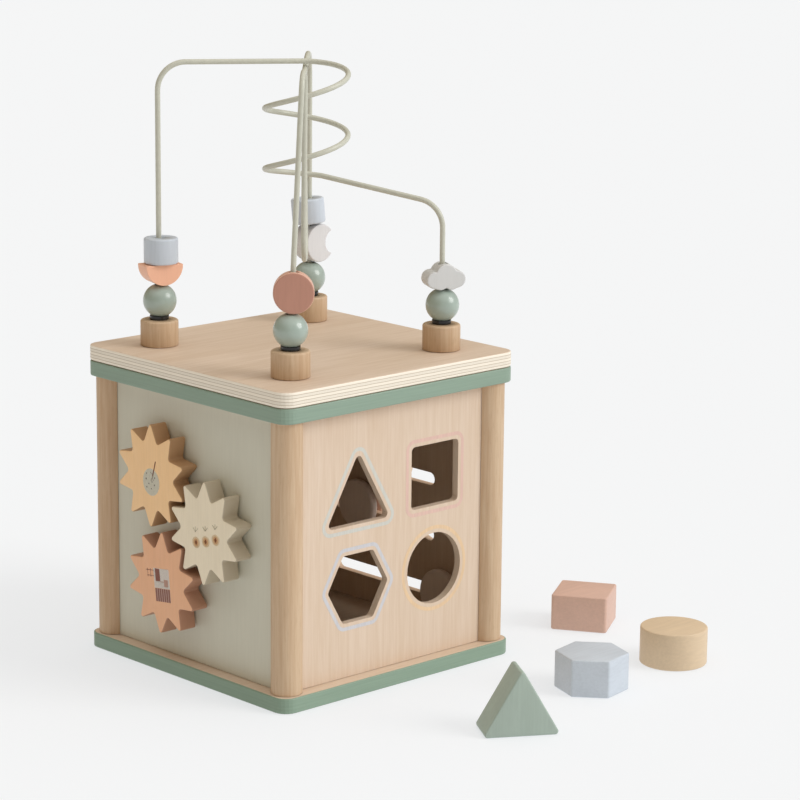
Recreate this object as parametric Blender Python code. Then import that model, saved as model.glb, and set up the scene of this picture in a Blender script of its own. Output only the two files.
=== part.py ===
"""Wooden activity cube: a shape sorter box with a gear panel, sliding tracks and a bead maze on its lid.

World frame: metres, +Z up, origin at the centre of the base's underside. The shape sorter panel faces -Y,
the gear panel faces -X, the track panel faces +X and the plain panel faces +Y. Four loose blocks lie on
the floor in front of the sorter panel.
"""

import math

import bmesh
import bpy
from mathutils import Matrix, Vector

MM = 0.001
GAP = 0.3 * MM  # play between two pieces that meet

# ---------------------------------------------------------------- the box
SIDE = 200 * MM  # base, top frame and lid, along X and along Y
CORNER_R = 9.5 * MM
BASE_T = 10 * MM
WALL_H = 174.3 * MM  # posts and panels
FRAME_T = 10 * MM
LID_T = 10 * MM
POST_R = 10 * MM
POST_INSET = 12.5 * MM  # from the board's edge to a post's axis
PANEL_T = 5 * MM
GROOVE_DEPTH = 5 * MM  # of the grooves in the posts that hold the panels
FRAME_RIM = 25 * MM  # width of the top frame around its opening
OPENING_R = 6 * MM
LOCATOR_T = 6 * MM
LOCATOR_PLAY = 0.8 * MM  # around the locator board in the frame's opening

SCREW_R = 2 * MM
SCREW_HEAD_R = 4 * MM
SCREW_HEAD_T = 2.4 * MM
SCREW_L = 32 * MM
SCREW_SINK = 0.6 * MM  # head below the base's underside
DRIVE_R = 1.6 * MM
DRIVE_DEPTH = 1.4 * MM

# ---------------------------------------------------------------- sorter panel and loose blocks
HOLE_LEFT_X = -29.8 * MM
HOLE_RIGHT_X = 36.7 * MM
HOLE_LOW_OFFSET = -29.25 * MM  # of the lower holes' centres from the middle of the walls' height
HOLE_HIGH_OFFSET = 33.35 * MM
HOLE_PLAY = 1.5 * MM  # around a block in its hole
HOLE_CORNER_R = 3 * MM
BLOCK_T = 24.5 * MM
BLOCK_EDGE = 0.8 * MM  # rounding of a block's edges
BLOCK_CORNER_R = 1.5 * MM
SQUARE_SIDE = 38.5 * MM
HEXAGON_R = 24 * MM  # centre to corner
CYLINDER_R = 22.2 * MM
TRIANGLE_R = 28.5 * MM  # centre to corner, before its corners are rounded

SQUARE_SPOT = (183.6 * MM, -86.5 * MM, 32.7)  # x, y and turn in degrees
HEXAGON_SPOT = (84.8 * MM, -187.0 * MM, 11.0)
CYLINDER_SPOT = (166.0 * MM, -184.5 * MM, 0.0)
TRIANGLE_SPOT = (-10.0 * MM, -214.0 * MM, -31.5)

# ---------------------------------------------------------------- gears
TEETH = 10
GEAR_TIP_R = 35.8 * MM
GEAR_ROOT_R = 22.4 * MM
GEAR_TIP_ROUND = 1.6 * MM
GEAR_ROOT_ROUND = 2.0 * MM
GEAR_T = 12.8 * MM
GEAR_MESH_PLAY = 1.8 * MM  # between a tooth's corner and the root's corner that it enters
GEAR_MIDDLE = (-26.9 * MM, 5.75 * MM)  # of the middle gear's axis: y, and height above the walls' middle
GEAR_UPPER_BEARING = 27.4  # degrees from +Y towards +Z, seen from the middle gear
GEAR_LOWER_BEARING = -43.8
GEAR_PHASES = {"yellow": 18.0, "cream": 17.2, "coral": 16.4}  # degrees from -Y up to one tooth
GEAR_EDGE = 0.6 * MM
AXLE_R = 4 * MM
AXLE_PLAY = 0.35 * MM
AXLE_FLANGE_R = 8 * MM
AXLE_FLANGE_T = 1 * MM
AXLE_REACH = 9 * MM  # into a gear

# ---------------------------------------------------------------- sliding tracks
SLOT_H = 8.7 * MM
TOP_SLOT = (-35.3 * MM, 14.6 * MM, 109.3 * MM)  # first y and last y of the shank, and z
LOW_SLOT = (-51.6 * MM, 54.6 * MM, 32.5 * MM)
ARC_R = 178 * MM
ARC_TOP = (20 * MM, 79.6 * MM)  # y and z of the arc slot's highest point
ARC_RIGHT = 18.1  # degrees from its top to its -Y end
ARC_LEFT = 11.6
SHANK_PLAY = 0.4 * MM
SLIDER_DISC_T = 6 * MM
SLIDER_DISC_R = 17.5 * MM
TOP_SLIDER_DISC_R = 11.5 * MM
SLIDER_GAP = 0.8 * MM  # between a slider and the panel, on each side
KNOB_R = 13.5 * MM
KNOB_T = 13 * MM
KNOB_BORE_DEPTH = 9 * MM
TOP_SLIDER_Y = 12.5 * MM
LOW_SLIDER_Y = -50 * MM
ARC_SLIDER_ANGLE = -3.9  # degrees about +X from the arc's top, negative towards +Y

# ---------------------------------------------------------------- bead maze
PEG_REACH = 65 * MM  # from the lid's centre to a peg's axis, along X and Y
PEG_R = 12.4 * MM
PEG_H = 16.9 * MM
PEG_EDGE = 1.2 * MM
PEG_BORE_DEPTH = 12 * MM
WIRE_R = 1.75 * MM
WIRE_PLAY = 0.35 * MM
WIRE_STEP = 6.5 * MM  # between two points of a wire
COLLAR_R = 6.3 * MM
SEAT_PLAY = 0.4 * MM  # between a ball and its collar
BALL_R = 11 * MM
BEAD_BORE_PLAY = 1.75 * MM  # around a wire in a bead's bore
BALL_RISE = 2.0 * MM  # from a peg's top to the flat under a ball
FLAT_BEAD_T = 14.5 * MM
FLAT_BEAD_EDGE = 0.8 * MM
DISC_R = 12.9 * MM
DISC_SHIFT = 0.9 * MM  # from its leg to its middle, towards the right peg
MOON_R = 12.8 * MM
MOON_H = 13.6 * MM
CRESCENT_R = 13 * MM
BITE_R = 8 * MM
BITE_OFFSET = 12.5 * MM
CRESCENT_BORE = -2.6 * MM  # from its middle to its bore, away from the bite
CRESCENT_SHIFT = 4 * MM  # from its leg to its middle, along +X
BARREL_R = 11.2 * MM
BARREL_H = 16.8 * MM
BARREL_EDGE = 1.0 * MM
BARREL_TILT = 5.0  # degrees, of the barrel on the back leg
BARREL_RISE = 0.7 * MM  # from the crescent's top to the middle of the tilted barrel's underside
# The cloud's puffs: across, up and radius, from the middle of the bead.
CLOUD_PUFFS = [
    (0.3 * MM, 1.4 * MM, 7.2 * MM),
    (-7.4 * MM, -1.8 * MM, 5.6 * MM),
    (7.6 * MM, -1.4 * MM, 5.6 * MM),
    (-3.6 * MM, -2.9 * MM, 5.4 * MM),
    (4.0 * MM, -2.9 * MM, 5.4 * MM),
]

SPIRAL_R = 26.7 * MM
SPIRAL_OFFSET = 3.7 * MM  # of the spiral's axis from the lid's centre, towards the right peg
SPIRAL_PITCH = 39 * MM
SPIRAL_LEAN = 1.35 * MM  # its right side sits this much high, and its left side this much low
SPIRAL_RIGHT_H = 177.8 * MM  # above the lid, where it first reaches its right side
LEFT_LEG_H = 184.6 * MM
RIGHT_LEG_H = 95.2 * MM
LEG_BEND_R = 18 * MM

# The wave wire's corners before rounding: distance from the lid's centre towards the back peg,
# distance towards the right peg, height above the lid, and the radius of the bend there.
WAVE_CORNERS = [
    (-72.4 * MM, 5.7 * MM, 186.3 * MM, 13.8 * MM),
    (-47 * MM, 5.8 * MM, 186.3 * MM, 13.8 * MM),
    (-41.2 * MM, 4.7 * MM, 62.8 * MM, 16 * MM),
    (-12.5 * MM, 4.2 * MM, 62.8 * MM, 16 * MM),
    (13 * MM, 0.9 * MM, 173.8 * MM, 24 * MM),
    (50 * MM, 1.2 * MM, 186.8 * MM, 60 * MM),
    (91.9 * MM, 0 * MM, 179.8 * MM, 20 * MM),
]
WAVE_FOOT_H = 30.8 * MM  # above the lid, where the front leg starts to lean, and its bend
WAVE_FOOT_R = 60 * MM

# ---------------------------------------------------------------- worked out from the sizes above
HALF = SIDE / 2
POST_AT = HALF - POST_INSET
WALL_LOW = BASE_T + GAP
WALL_TOP = WALL_LOW + WALL_H
WALL_MIDDLE = WALL_LOW + WALL_H / 2
HOLE_LOW_Z = WALL_MIDDLE + HOLE_LOW_OFFSET
HOLE_HIGH_Z = WALL_MIDDLE + HOLE_HIGH_OFFSET
FRAME_LOW = WALL_TOP + GAP
FRAME_TOP = FRAME_LOW + FRAME_T
LID_LOW = FRAME_TOP + GAP
LID_TOP = LID_LOW + LID_T
PEG_LOW = LID_TOP + GAP
PEG_TOP = PEG_LOW + PEG_H
BEAD_BORE_R = WIRE_R + BEAD_BORE_PLAY
BALL_FLAT = math.sqrt(BALL_R**2 - BEAD_BORE_R**2)  # ball centre to the flat round its bore
BALL_Z = PEG_TOP + BALL_RISE + BALL_FLAT
SECOND_BEAD_LOW = BALL_Z + BALL_FLAT + GAP
PANEL_OUT = POST_AT + PANEL_T / 2  # outer face of a panel
PANEL_IN = POST_AT - PANEL_T / 2
PANEL_HALF = POST_AT - POST_R + GROOVE_DEPTH - GAP
SHANK_R = SLOT_H / 2 - SHANK_PLAY
WIRE_END_Z = PEG_TOP - PEG_BORE_DEPTH + GAP
DIAGONAL = PEG_REACH * math.sqrt(2)
GEAR_SPACING = GEAR_TIP_R + GEAR_ROOT_R + GEAR_MESH_PLAY  # between the axes of two gears in mesh
SPIRAL_RIGHT_Z = LID_TOP + SPIRAL_RIGHT_H
LEFT_LEG_TOP_Z = LID_TOP + LEFT_LEG_H
RIGHT_LEG_TOP_Z = LID_TOP + RIGHT_LEG_H
WAVE_FOOT_Z = LID_TOP + WAVE_FOOT_H


# ---------------------------------------------------------------- modelling helpers
def clear_scene():
    for obj in list(bpy.data.objects):
        bpy.data.objects.remove(obj, do_unlink=True)


def finish(name, colour, roughness, metallic=0.0):
    """A Principled material from an sRGB colour in hex."""
    material = bpy.data.materials.get(name) or bpy.data.materials.new(name)
    material.use_nodes = True
    shader = material.node_tree.nodes["Principled BSDF"]
    channels = [int(colour[i : i + 2], 16) / 255 for i in (1, 3, 5)]
    linear = [c / 12.92 if c <= 0.04045 else ((c + 0.055) / 1.055) ** 2.4 for c in channels]
    shader.inputs["Base Color"].default_value = (*linear, 1)
    shader.inputs["Roughness"].default_value = roughness
    shader.inputs["Metallic"].default_value = metallic
    return material


def shade(mesh):
    mesh.shade_smooth()
    mesh.set_sharp_from_angle(angle=math.radians(32))


def add_object(name, bm, material=None):
    """An object from a bmesh; without a material it is a cutter, which isn't rendered."""
    bmesh.ops.recalc_face_normals(bm, faces=bm.faces)
    mesh = bpy.data.meshes.new(name)
    bm.to_mesh(mesh)
    bm.free()
    shade(mesh)
    obj = bpy.data.objects.new(name, mesh)
    bpy.context.scene.collection.objects.link(obj)
    if material:
        mesh.materials.append(material)
    else:
        obj.hide_render = True
        obj.display_type = "WIRE"
    return obj


def arc(centre, radius, start, end, steps):
    """Points on an arc in a plane, from one angle in degrees to another, both included."""
    angles = [math.radians(start + (end - start) * i / steps) for i in range(steps + 1)]
    return [(centre[0] + radius * math.cos(a), centre[1] + radius * math.sin(a)) for a in angles]


def rounded(corners, radii, steps=6):
    """A closed outline whose corners, given anticlockwise, are rounded by arcs tangent to both sides."""
    points = []
    count = len(corners)
    for i, corner in enumerate(corners):
        here = Vector(corner)
        back = (Vector(corners[i - 1]) - here).normalized()
        ahead = (Vector(corners[(i + 1) % count]) - here).normalized()
        half = back.angle(ahead) / 2
        radius = radii[i] if isinstance(radii, list) else radii
        centre = here + (back + ahead).normalized() * (radius / math.sin(half))
        first = (here + back * (radius / math.tan(half)) - centre).normalized()
        last = (here + ahead * (radius / math.tan(half)) - centre).normalized()
        sweep = first.angle_signed(last)
        for k in range(steps + 1):
            turn = Matrix.Rotation(-sweep * k / steps, 2)
            point = centre + radius * (turn @ first)
            points.append((point.x, point.y))
    return points


def regular(sides, radius, turn=0.0):
    """Corners of a regular polygon, anticlockwise, the first one at `turn` degrees."""
    angles = [math.radians(turn + 360 * i / sides) for i in range(sides)]
    return [(radius * math.cos(a), radius * math.sin(a)) for a in angles]


def square(half):
    return [(-half, -half), (half, -half), (half, half), (-half, half)]


def prism(outline, low, high, place=None):
    """A closed outline in the XY plane carried from z = low to z = high, then placed by a matrix."""
    bm = bmesh.new()
    face = bm.faces.new([bm.verts.new((x, y, low)) for x, y in outline])
    swept = bmesh.ops.extrude_face_region(bm, geom=[face])
    top = [item for item in swept["geom"] if isinstance(item, bmesh.types.BMVert)]
    bmesh.ops.translate(bm, verts=top, vec=(0, 0, high - low))
    if place is not None:
        bm.transform(place)
    return bm


def turned(profile, steps=32, place=None):
    """A closed profile of (radius, height) points turned round Z; points at radius 0 close the piece."""
    bm = bmesh.new()
    rings = []
    for radius, height in profile:
        if radius == 0:
            rings.append([bm.verts.new((0, 0, height))])
            continue
        angles = [2 * math.pi * i / steps for i in range(steps)]
        rings.append([bm.verts.new((radius * math.cos(a), radius * math.sin(a), height)) for a in angles])
    for ring, following in zip(rings, rings[1:] + rings[:1]):
        if len(ring) == 1 and len(following) == 1:
            continue
        for i in range(steps):
            j = (i + 1) % steps
            corners = [ring[i % len(ring)], ring[j % len(ring)]]
            corners += [following[j % len(following)], following[i % len(following)]]
            bm.faces.new(list(dict.fromkeys(corners)))
    if place is not None:
        bm.transform(place)
    return bm


def cylinder(radius, low, high, steps=32, place=None):
    return prism(regular(steps, radius), low, high, place)


def cut(obj, *cutters):
    for cutter in cutters:
        modifier = obj.modifiers.new(cutter.name, "BOOLEAN")
        modifier.operation = "DIFFERENCE"
        modifier.solver = "EXACT"
        modifier.object = cutter


def round_edges(obj, width, segments=2, angle=50):
    modifier = obj.modifiers.new("rounded edges", "BEVEL")
    modifier.width = width
    modifier.segments = segments
    modifier.limit_method = "ANGLE"
    modifier.angle_limit = math.radians(angle)


def facing(direction, at):
    """A matrix that stands a prism drawn in XY upright: its Y becomes +Z and its Z becomes `direction`."""
    out = Vector(direction).normalized()
    across = Vector((0, 0, 1)).cross(out)
    return Matrix.Translation(at) @ Matrix((across, (0, 0, 1), out)).transposed().to_4x4()


def on_diagonals(towards_back, towards_right, height):
    """A point from distances along the lid's two diagonals."""
    x = (towards_back + towards_right) / math.sqrt(2)
    y = (towards_back - towards_right) / math.sqrt(2)
    return Vector((x, y, height))


# ---------------------------------------------------------------- the box
def post_cutter(name, low, high, radius, x=0.0, y=0.0):
    return add_object(name, cylinder(radius, low, high, 20, Matrix.Translation((x, y, 0))))


def build_box(woods):
    """Base, four grooved posts, four panels, top frame and the screws that hold the posts to the base."""
    outline = rounded(square(HALF), CORNER_R)
    base = add_object("base_board", prism(outline, 0, BASE_T), woods["green"])
    round_edges(base, 0.8 * MM)

    groove = PANEL_T + 2 * GAP
    bottom = POST_R - GROOVE_DEPTH
    reach = POST_R + GAP
    post_grooves = [
        add_object("groove_x", prism([(bottom, -groove / 2), (reach, -groove / 2), (reach, groove / 2),
                                      (bottom, groove / 2)], WALL_LOW - GAP, WALL_TOP + GAP)),
        add_object("groove_y", prism([(-groove / 2, bottom), (groove / 2, bottom), (groove / 2, reach),
                                      (-groove / 2, reach)], WALL_LOW - GAP, WALL_TOP + GAP)),
        post_cutter("post_screw_hole", 0, SCREW_SINK + SCREW_L + 2 * GAP, SCREW_R + GAP),
    ]
    corners = {"front": (-1, -1, 0), "right": (1, -1, 90), "back": (1, 1, 180), "left": (-1, 1, 270)}
    for name, (x, y, turn) in corners.items():
        place = Matrix.Translation((x * POST_AT, y * POST_AT, 0)) @ Matrix.Rotation(math.radians(turn), 4, "Z")
        post = add_object(f"post_{name}", cylinder(POST_R, WALL_LOW, WALL_TOP, 40), woods["beech"])
        post.matrix_world = place
        for cutter in post_grooves:
            moved = cutter.copy()
            moved.name = f"{cutter.name}_{name}"
            bpy.context.scene.collection.objects.link(moved)
            moved.matrix_world = place
            cut(post, moved)
        hole = post_cutter(f"base_screw_hole_{name}", -GAP, BASE_T + GAP, SCREW_R + GAP, x * POST_AT, y * POST_AT)
        sink = post_cutter(f"base_screw_sink_{name}", -GAP, SCREW_SINK + SCREW_HEAD_T + GAP,
                           SCREW_HEAD_R + GAP, x * POST_AT, y * POST_AT)
        cut(base, hole, sink)
        build_screw(f"base_screw_{name}", x * POST_AT, y * POST_AT, woods["steel"])

    panel = [(-PANEL_HALF, WALL_LOW), (PANEL_HALF, WALL_LOW), (PANEL_HALF, WALL_TOP), (-PANEL_HALF, WALL_TOP)]
    sides = {
        "sorter_panel": ((0, -1, 0), "birch"),
        "gear_panel": ((-1, 0, 0), "grey"),
        "track_panel": ((1, 0, 0), "birch"),
        "back_panel": ((0, 1, 0), "birch"),
    }
    panels = {}
    for name, (out, wood) in sides.items():
        panels[name] = add_object(name, prism(panel, PANEL_IN, PANEL_OUT, facing(out, (0, 0, 0))), woods[wood])

    frame = add_object("top_frame", prism(outline, FRAME_LOW, FRAME_TOP), woods["green"])
    round_edges(frame, 0.8 * MM)
    hole = rounded(square(HALF - FRAME_RIM), OPENING_R)
    cut(frame, add_object("frame_opening", prism(hole, FRAME_LOW - GAP, FRAME_TOP + GAP)))
    return panels


def build_screw(name, x, y, steel):
    """A countersunk screw from the base's underside up into a post, with a hexagonal socket."""
    low = SCREW_SINK
    tip = low + SCREW_L
    profile = [(0, low), (SCREW_HEAD_R, low), (SCREW_HEAD_R, low + 0.5 * MM), (SCREW_R, low + SCREW_HEAD_T),
               (SCREW_R, tip - 2 * SCREW_R), (0, tip)]
    screw = add_object(name, turned(profile, 20, Matrix.Translation((x, y, 0))), steel)
    socket = prism(regular(6, DRIVE_R), low - GAP, low + DRIVE_DEPTH, Matrix.Translation((x, y, 0)))
    cut(screw, add_object(f"{name}_socket", socket))


# ---------------------------------------------------------------- sorter holes and blocks
def block_shapes():
    """Each block's name, its corners and corner rounding as drawn, and where its hole is on the panel."""
    return {
        "square": (square(SQUARE_SIDE / 2), HOLE_RIGHT_X, HOLE_HIGH_Z),
        "hexagon": (regular(6, HEXAGON_R), HOLE_LEFT_X, HOLE_LOW_Z),
        "triangle": (regular(3, TRIANGLE_R, 90), HOLE_LEFT_X, HOLE_HIGH_Z - TRIANGLE_R / 5),
    }


def grown(corners, by):
    """Corners of a regular outline after each of its sides moves outwards."""
    half = math.pi / len(corners)
    first = Vector(corners[0])
    factor = 1 + by / (first.length * math.cos(half))
    return [(x * factor, y * factor) for x, y in corners]


def build_sorter(panel, woods):
    """Four holes in the sorter panel and the four blocks that pass through them."""
    holes = {}
    for name, (corners, x, z) in block_shapes().items():
        holes[name] = (rounded(grown(corners, HOLE_PLAY), HOLE_CORNER_R, 4), x, z)
    holes["cylinder"] = (regular(40, CYLINDER_R + HOLE_PLAY), HOLE_RIGHT_X, HOLE_LOW_Z)
    for name, (outline, x, z) in holes.items():
        place = facing((0, -1, 0), (x, 0, z))
        cut(panel, add_object(f"{name}_hole", prism(outline, PANEL_IN - GAP, PANEL_OUT + GAP, place)))

    def block(name, outline, colour, spot, place=Matrix.Identity(4)):
        x, y, turn = spot
        obj = add_object(f"block_{name}", prism(outline, 0, BLOCK_T, place), woods[colour])
        obj.location = (x, y, 0)
        obj.rotation_euler = (0, 0, math.radians(turn))
        round_edges(obj, BLOCK_EDGE, 2, 60)

    corners = {name: rounded(shape[0], BLOCK_CORNER_R, 3) for name, shape in block_shapes().items()}
    block("square", corners["square"], "coral", SQUARE_SPOT)
    block("hexagon", corners["hexagon"], "blue", HEXAGON_SPOT)
    block("cylinder", regular(40, CYLINDER_R), "yellow", CYLINDER_SPOT)
    # The triangle stands on one of its long sides, its face towards -Y before it is turned.
    upright = facing((0, -1, 0), (0, BLOCK_T / 2, TRIANGLE_R / 2))
    block("triangle", corners["triangle"], "green", TRIANGLE_SPOT, upright)


# ---------------------------------------------------------------- gears
def gear_outline():
    """A ten-pointed star with straight flanks, its tips and roots rounded."""
    corners = []
    for i in range(TEETH):
        tip = math.radians(360 * i / TEETH)
        root = math.radians(360 * (i + 0.5) / TEETH)
        corners.append((GEAR_TIP_R * math.cos(tip), GEAR_TIP_R * math.sin(tip)))
        corners.append((GEAR_ROOT_R * math.cos(root), GEAR_ROOT_R * math.sin(root)))
    return rounded(corners, [GEAR_TIP_ROUND, GEAR_ROOT_ROUND] * TEETH, 4)


def gear_axes():
    """y and z of each gear's axis: the middle gear meshes with the other two."""
    y, z = GEAR_MIDDLE[0], WALL_MIDDLE + GEAR_MIDDLE[1]
    upper = math.radians(GEAR_UPPER_BEARING)
    lower = math.radians(GEAR_LOWER_BEARING)
    return {
        "cream": (y, z),
        "yellow": (y + GEAR_SPACING * math.cos(upper), z + GEAR_SPACING * math.sin(upper)),
        "coral": (y + GEAR_SPACING * math.cos(lower), z + GEAR_SPACING * math.sin(lower)),
    }


def build_gears(panel, woods):
    """Three meshing gears, each turning on a flanged axle that is fixed in the gear panel."""
    back = PANEL_OUT + GAP + AXLE_FLANGE_T + GAP
    for name, (y, z) in gear_axes().items():
        # Local Z points along -X, out of the panel; local X points along -Y.
        out = Matrix(((0, 0, -1), (-1, 0, 0), (0, 1, 0))).to_4x4()
        place = Matrix.Translation((0, y, z)) @ out
        gear = add_object(f"gear_{name}", prism(gear_outline(), back, back + GEAR_T), woods[name])
        gear.matrix_world = place @ Matrix.Rotation(math.radians(GEAR_PHASES[name]), 4, "Z")
        round_edges(gear, GEAR_EDGE, 1, 60)
        bore = add_object(f"gear_bore_{name}", cylinder(AXLE_R + AXLE_PLAY, back - GAP, back + AXLE_REACH + GAP, 24))
        bore.matrix_world = place
        cut(gear, bore)
        low = PANEL_OUT + GAP
        profile = [(0, PANEL_IN), (AXLE_R, PANEL_IN), (AXLE_R, low), (AXLE_FLANGE_R, low),
                   (AXLE_FLANGE_R, low + AXLE_FLANGE_T), (AXLE_R, low + AXLE_FLANGE_T),
                   (AXLE_R, back + AXLE_REACH), (0, back + AXLE_REACH)]
        axle = add_object(f"gear_axle_{name}", turned(profile, 24), woods["beech"])
        axle.matrix_world = place
        hole = add_object(f"axle_hole_{name}", cylinder(AXLE_R + GAP, PANEL_IN - GAP, PANEL_OUT + GAP, 24))
        hole.matrix_world = place
        cut(panel, hole)


# ---------------------------------------------------------------- sliding tracks
def straight_slot(first, last, z):
    """Outline of a level slot with round ends, in y and z."""
    radius = SLOT_H / 2
    return arc((last, z), radius, -90, 90, 8) + arc((first, z), radius, 90, 270, 8)


def arc_slot():
    """Outline of a slot bent along the arc, with round ends, in y and z."""
    y, z = ARC_TOP[0], ARC_TOP[1] - ARC_R
    right, left = 90 + ARC_RIGHT, 90 - ARC_LEFT
    radius = SLOT_H / 2
    # Angles here run from +Y towards +Z, so the -Y end is past 90 degrees.
    upper = arc((y, z), ARC_R + radius, left, right, 16)
    lower = arc((y, z), ARC_R - radius, right, left, 16)
    far = (y + ARC_R * math.cos(math.radians(right)), z + ARC_R * math.sin(math.radians(right)))
    near = (y + ARC_R * math.cos(math.radians(left)), z + ARC_R * math.sin(math.radians(left)))
    far_end = arc(far, radius, right, right + 180, 8)[1:-1]
    near_end = arc(near, radius, left + 180, left + 360, 8)[1:-1]
    return upper + far_end + lower + near_end


def build_tracks(panel, woods):
    """Three slots in the track panel, each with a slider: inner disc with a shank, and outer knob."""
    # Local Z points along +X, out of the panel; local X points along +Y.
    out = Matrix(((0, 0, 1), (1, 0, 0), (0, 1, 0))).to_4x4()
    slots = {"top": straight_slot(*TOP_SLOT), "arc": arc_slot(), "low": straight_slot(*LOW_SLOT)}
    for name, outline in slots.items():
        cutter = add_object(f"{name}_slot", prism(outline, PANEL_IN - GAP, PANEL_OUT + GAP))
        cutter.matrix_world = out
        cut(panel, cutter)

    angle = math.radians(ARC_SLIDER_ANGLE)
    arc_spot = (ARC_TOP[0] - ARC_R * math.sin(angle), ARC_TOP[1] - ARC_R * (1 - math.cos(angle)))
    sliders = {
        "top": (TOP_SLIDER_Y, TOP_SLOT[2], TOP_SLIDER_DISC_R, "yellow"),
        "arc": (*arc_spot, SLIDER_DISC_R, "coral"),
        "low": (LOW_SLIDER_Y, LOW_SLOT[2], SLIDER_DISC_R, "green"),
    }
    for name, (y, z, disc_r, colour) in sliders.items():
        place = Matrix.Translation((0, y, z)) @ out
        face = PANEL_IN - SLIDER_GAP
        knob_low = PANEL_OUT + SLIDER_GAP
        edge = 2 * MM
        profile = [(0, face - SLIDER_DISC_T)]
        profile += arc((disc_r - edge, face - SLIDER_DISC_T + edge), edge, -90, 0, 3)
        profile += arc((disc_r - edge, face - edge), edge, 0, 90, 3)
        profile += [(SHANK_R, face), (SHANK_R, knob_low + KNOB_BORE_DEPTH - GAP), (0, knob_low + KNOB_BORE_DEPTH - GAP)]
        disc = add_object(f"slider_disc_{name}", turned(profile, 32), woods["beech"])
        disc.matrix_world = place
        edge = 4 * MM
        bore_r = SHANK_R + GAP
        profile = [(bore_r, knob_low), (KNOB_R - edge / 2, knob_low)]
        profile += arc((KNOB_R - edge / 2, knob_low + edge / 2), edge / 2, -45, 0, 2)
        profile += arc((KNOB_R - edge, knob_low + KNOB_T - edge), edge, 0, 90, 4)
        profile += [(0, knob_low + KNOB_T), (0, knob_low + KNOB_BORE_DEPTH), (bore_r, knob_low + KNOB_BORE_DEPTH)]
        knob = add_object(f"slider_knob_{name}", turned(profile, 32), woods[colour])
        knob.matrix_world = place
        if name == "arc":
            # The slider swings about this far-off axis, below the base.
            pivot = bpy.data.objects.new("arc_pivot", None)
            pivot.location = (PANEL_OUT, ARC_TOP[0], ARC_TOP[1] - ARC_R)
            bpy.context.scene.collection.objects.link(pivot)
            for piece in (disc, knob):
                piece.parent = pivot
                piece.matrix_parent_inverse = Matrix.Translation(pivot.location).inverted()


# ---------------------------------------------------------------- lid, pegs and wires
def build_lid(woods):
    """Plywood lid with a locator board under it, four pegs and the collars on their tops."""
    board = add_object("lid_board", prism(rounded(square(HALF), CORNER_R), LID_LOW, LID_TOP), woods["plywood"])
    round_edges(board, 1.0 * MM)
    half = HALF - FRAME_RIM - LOCATOR_PLAY
    outline = rounded(square(half), OPENING_R - LOCATOR_PLAY)
    add_object("lid_locator", prism(outline, LID_LOW - GAP - LOCATOR_T, LID_LOW - GAP), woods["birch"])
    bore = WIRE_R + WIRE_PLAY
    for name, (x, y) in {"front": (-1, -1), "right": (1, -1), "back": (1, 1), "left": (-1, 1)}.items():
        place = Matrix.Translation((x * PEG_REACH, y * PEG_REACH, 0))
        profile = [(0, PEG_LOW), (PEG_R, PEG_LOW)]
        profile += arc((PEG_R - PEG_EDGE, PEG_TOP - PEG_EDGE), PEG_EDGE, 0, 90, 3)
        profile += [(bore + GAP, PEG_TOP), (bore + GAP, PEG_TOP - PEG_BORE_DEPTH),
                    (0, PEG_TOP - PEG_BORE_DEPTH)]
        add_object(f"peg_{name}", turned(profile, 36, place), woods["beech"])
        # A collar's top is a cup that follows the underside of its ball.
        inner = bore + GAP
        seat = [inner + (COLLAR_R - GAP - inner) * i / 3 for i in range(3, -1, -1)]
        profile = [(inner, PEG_TOP + GAP), (COLLAR_R, PEG_TOP + GAP)]
        profile += [(COLLAR_R, BALL_Z - math.sqrt((BALL_R + SEAT_PLAY) ** 2 - COLLAR_R**2) - GAP)]
        profile += [(r, BALL_Z - math.sqrt((BALL_R + SEAT_PLAY) ** 2 - max(r, BEAD_BORE_R) ** 2)) for r in seat]
        add_object(f"collar_{name}", turned(profile, 24, place), woods["rubber"])


def filleted(corners, radii):
    """A route through corners in space, each inner corner replaced by an arc, as (start, arcs and lines)."""
    points = [corners[0]]
    for i in range(1, len(corners) - 1):
        here = corners[i]
        back = (corners[i - 1] - here).normalized()
        ahead = (corners[i + 1] - here).normalized()
        half = back.angle(ahead) / 2
        radius = radii[i - 1]
        centre = here + (back + ahead).normalized() * (radius / math.sin(half))
        first = here + back * (radius / math.tan(half)) - centre
        last = here + ahead * (radius / math.tan(half)) - centre
        sweep = first.angle(last)
        axis = first.cross(last).normalized()
        steps = max(2, round(sweep * radius / (WIRE_STEP / 2)))
        steps = min(steps, max(4, round(math.degrees(sweep) / 11)))
        for k in range(steps + 1):
            points.append(centre + Matrix.Rotation(sweep * k / steps, 3, axis) @ first)
    points.append(corners[-1])
    return points


def spaced(points, step):
    """The same route with extra points on its long straight runs, and none closer than a third of a step."""
    result = [points[0]]
    for point in points[1:]:
        run = point - result[-1]
        if run.length < step / 3:
            continue
        parts = max(1, round(run.length / (3 * step)))
        start = result[-1]
        result += [start + run * (k / parts) for k in range(1, parts + 1)]
    return result


def add_wire(name, points, material):
    """A wire of round section through the points, its ends closed."""
    curve = bpy.data.curves.new(name, "CURVE")
    curve.dimensions = "3D"
    curve.bevel_depth = WIRE_R
    curve.bevel_resolution = 2
    curve.use_fill_caps = True
    curve.twist_mode = "MINIMUM"
    spline = curve.splines.new("POLY")
    spline.points.add(len(points) - 1)
    for slot, point in zip(spline.points, points):
        slot.co = (*point, 1)
    curve.materials.append(material)
    obj = bpy.data.objects.new(name, curve)
    bpy.context.scene.collection.objects.link(obj)


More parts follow.
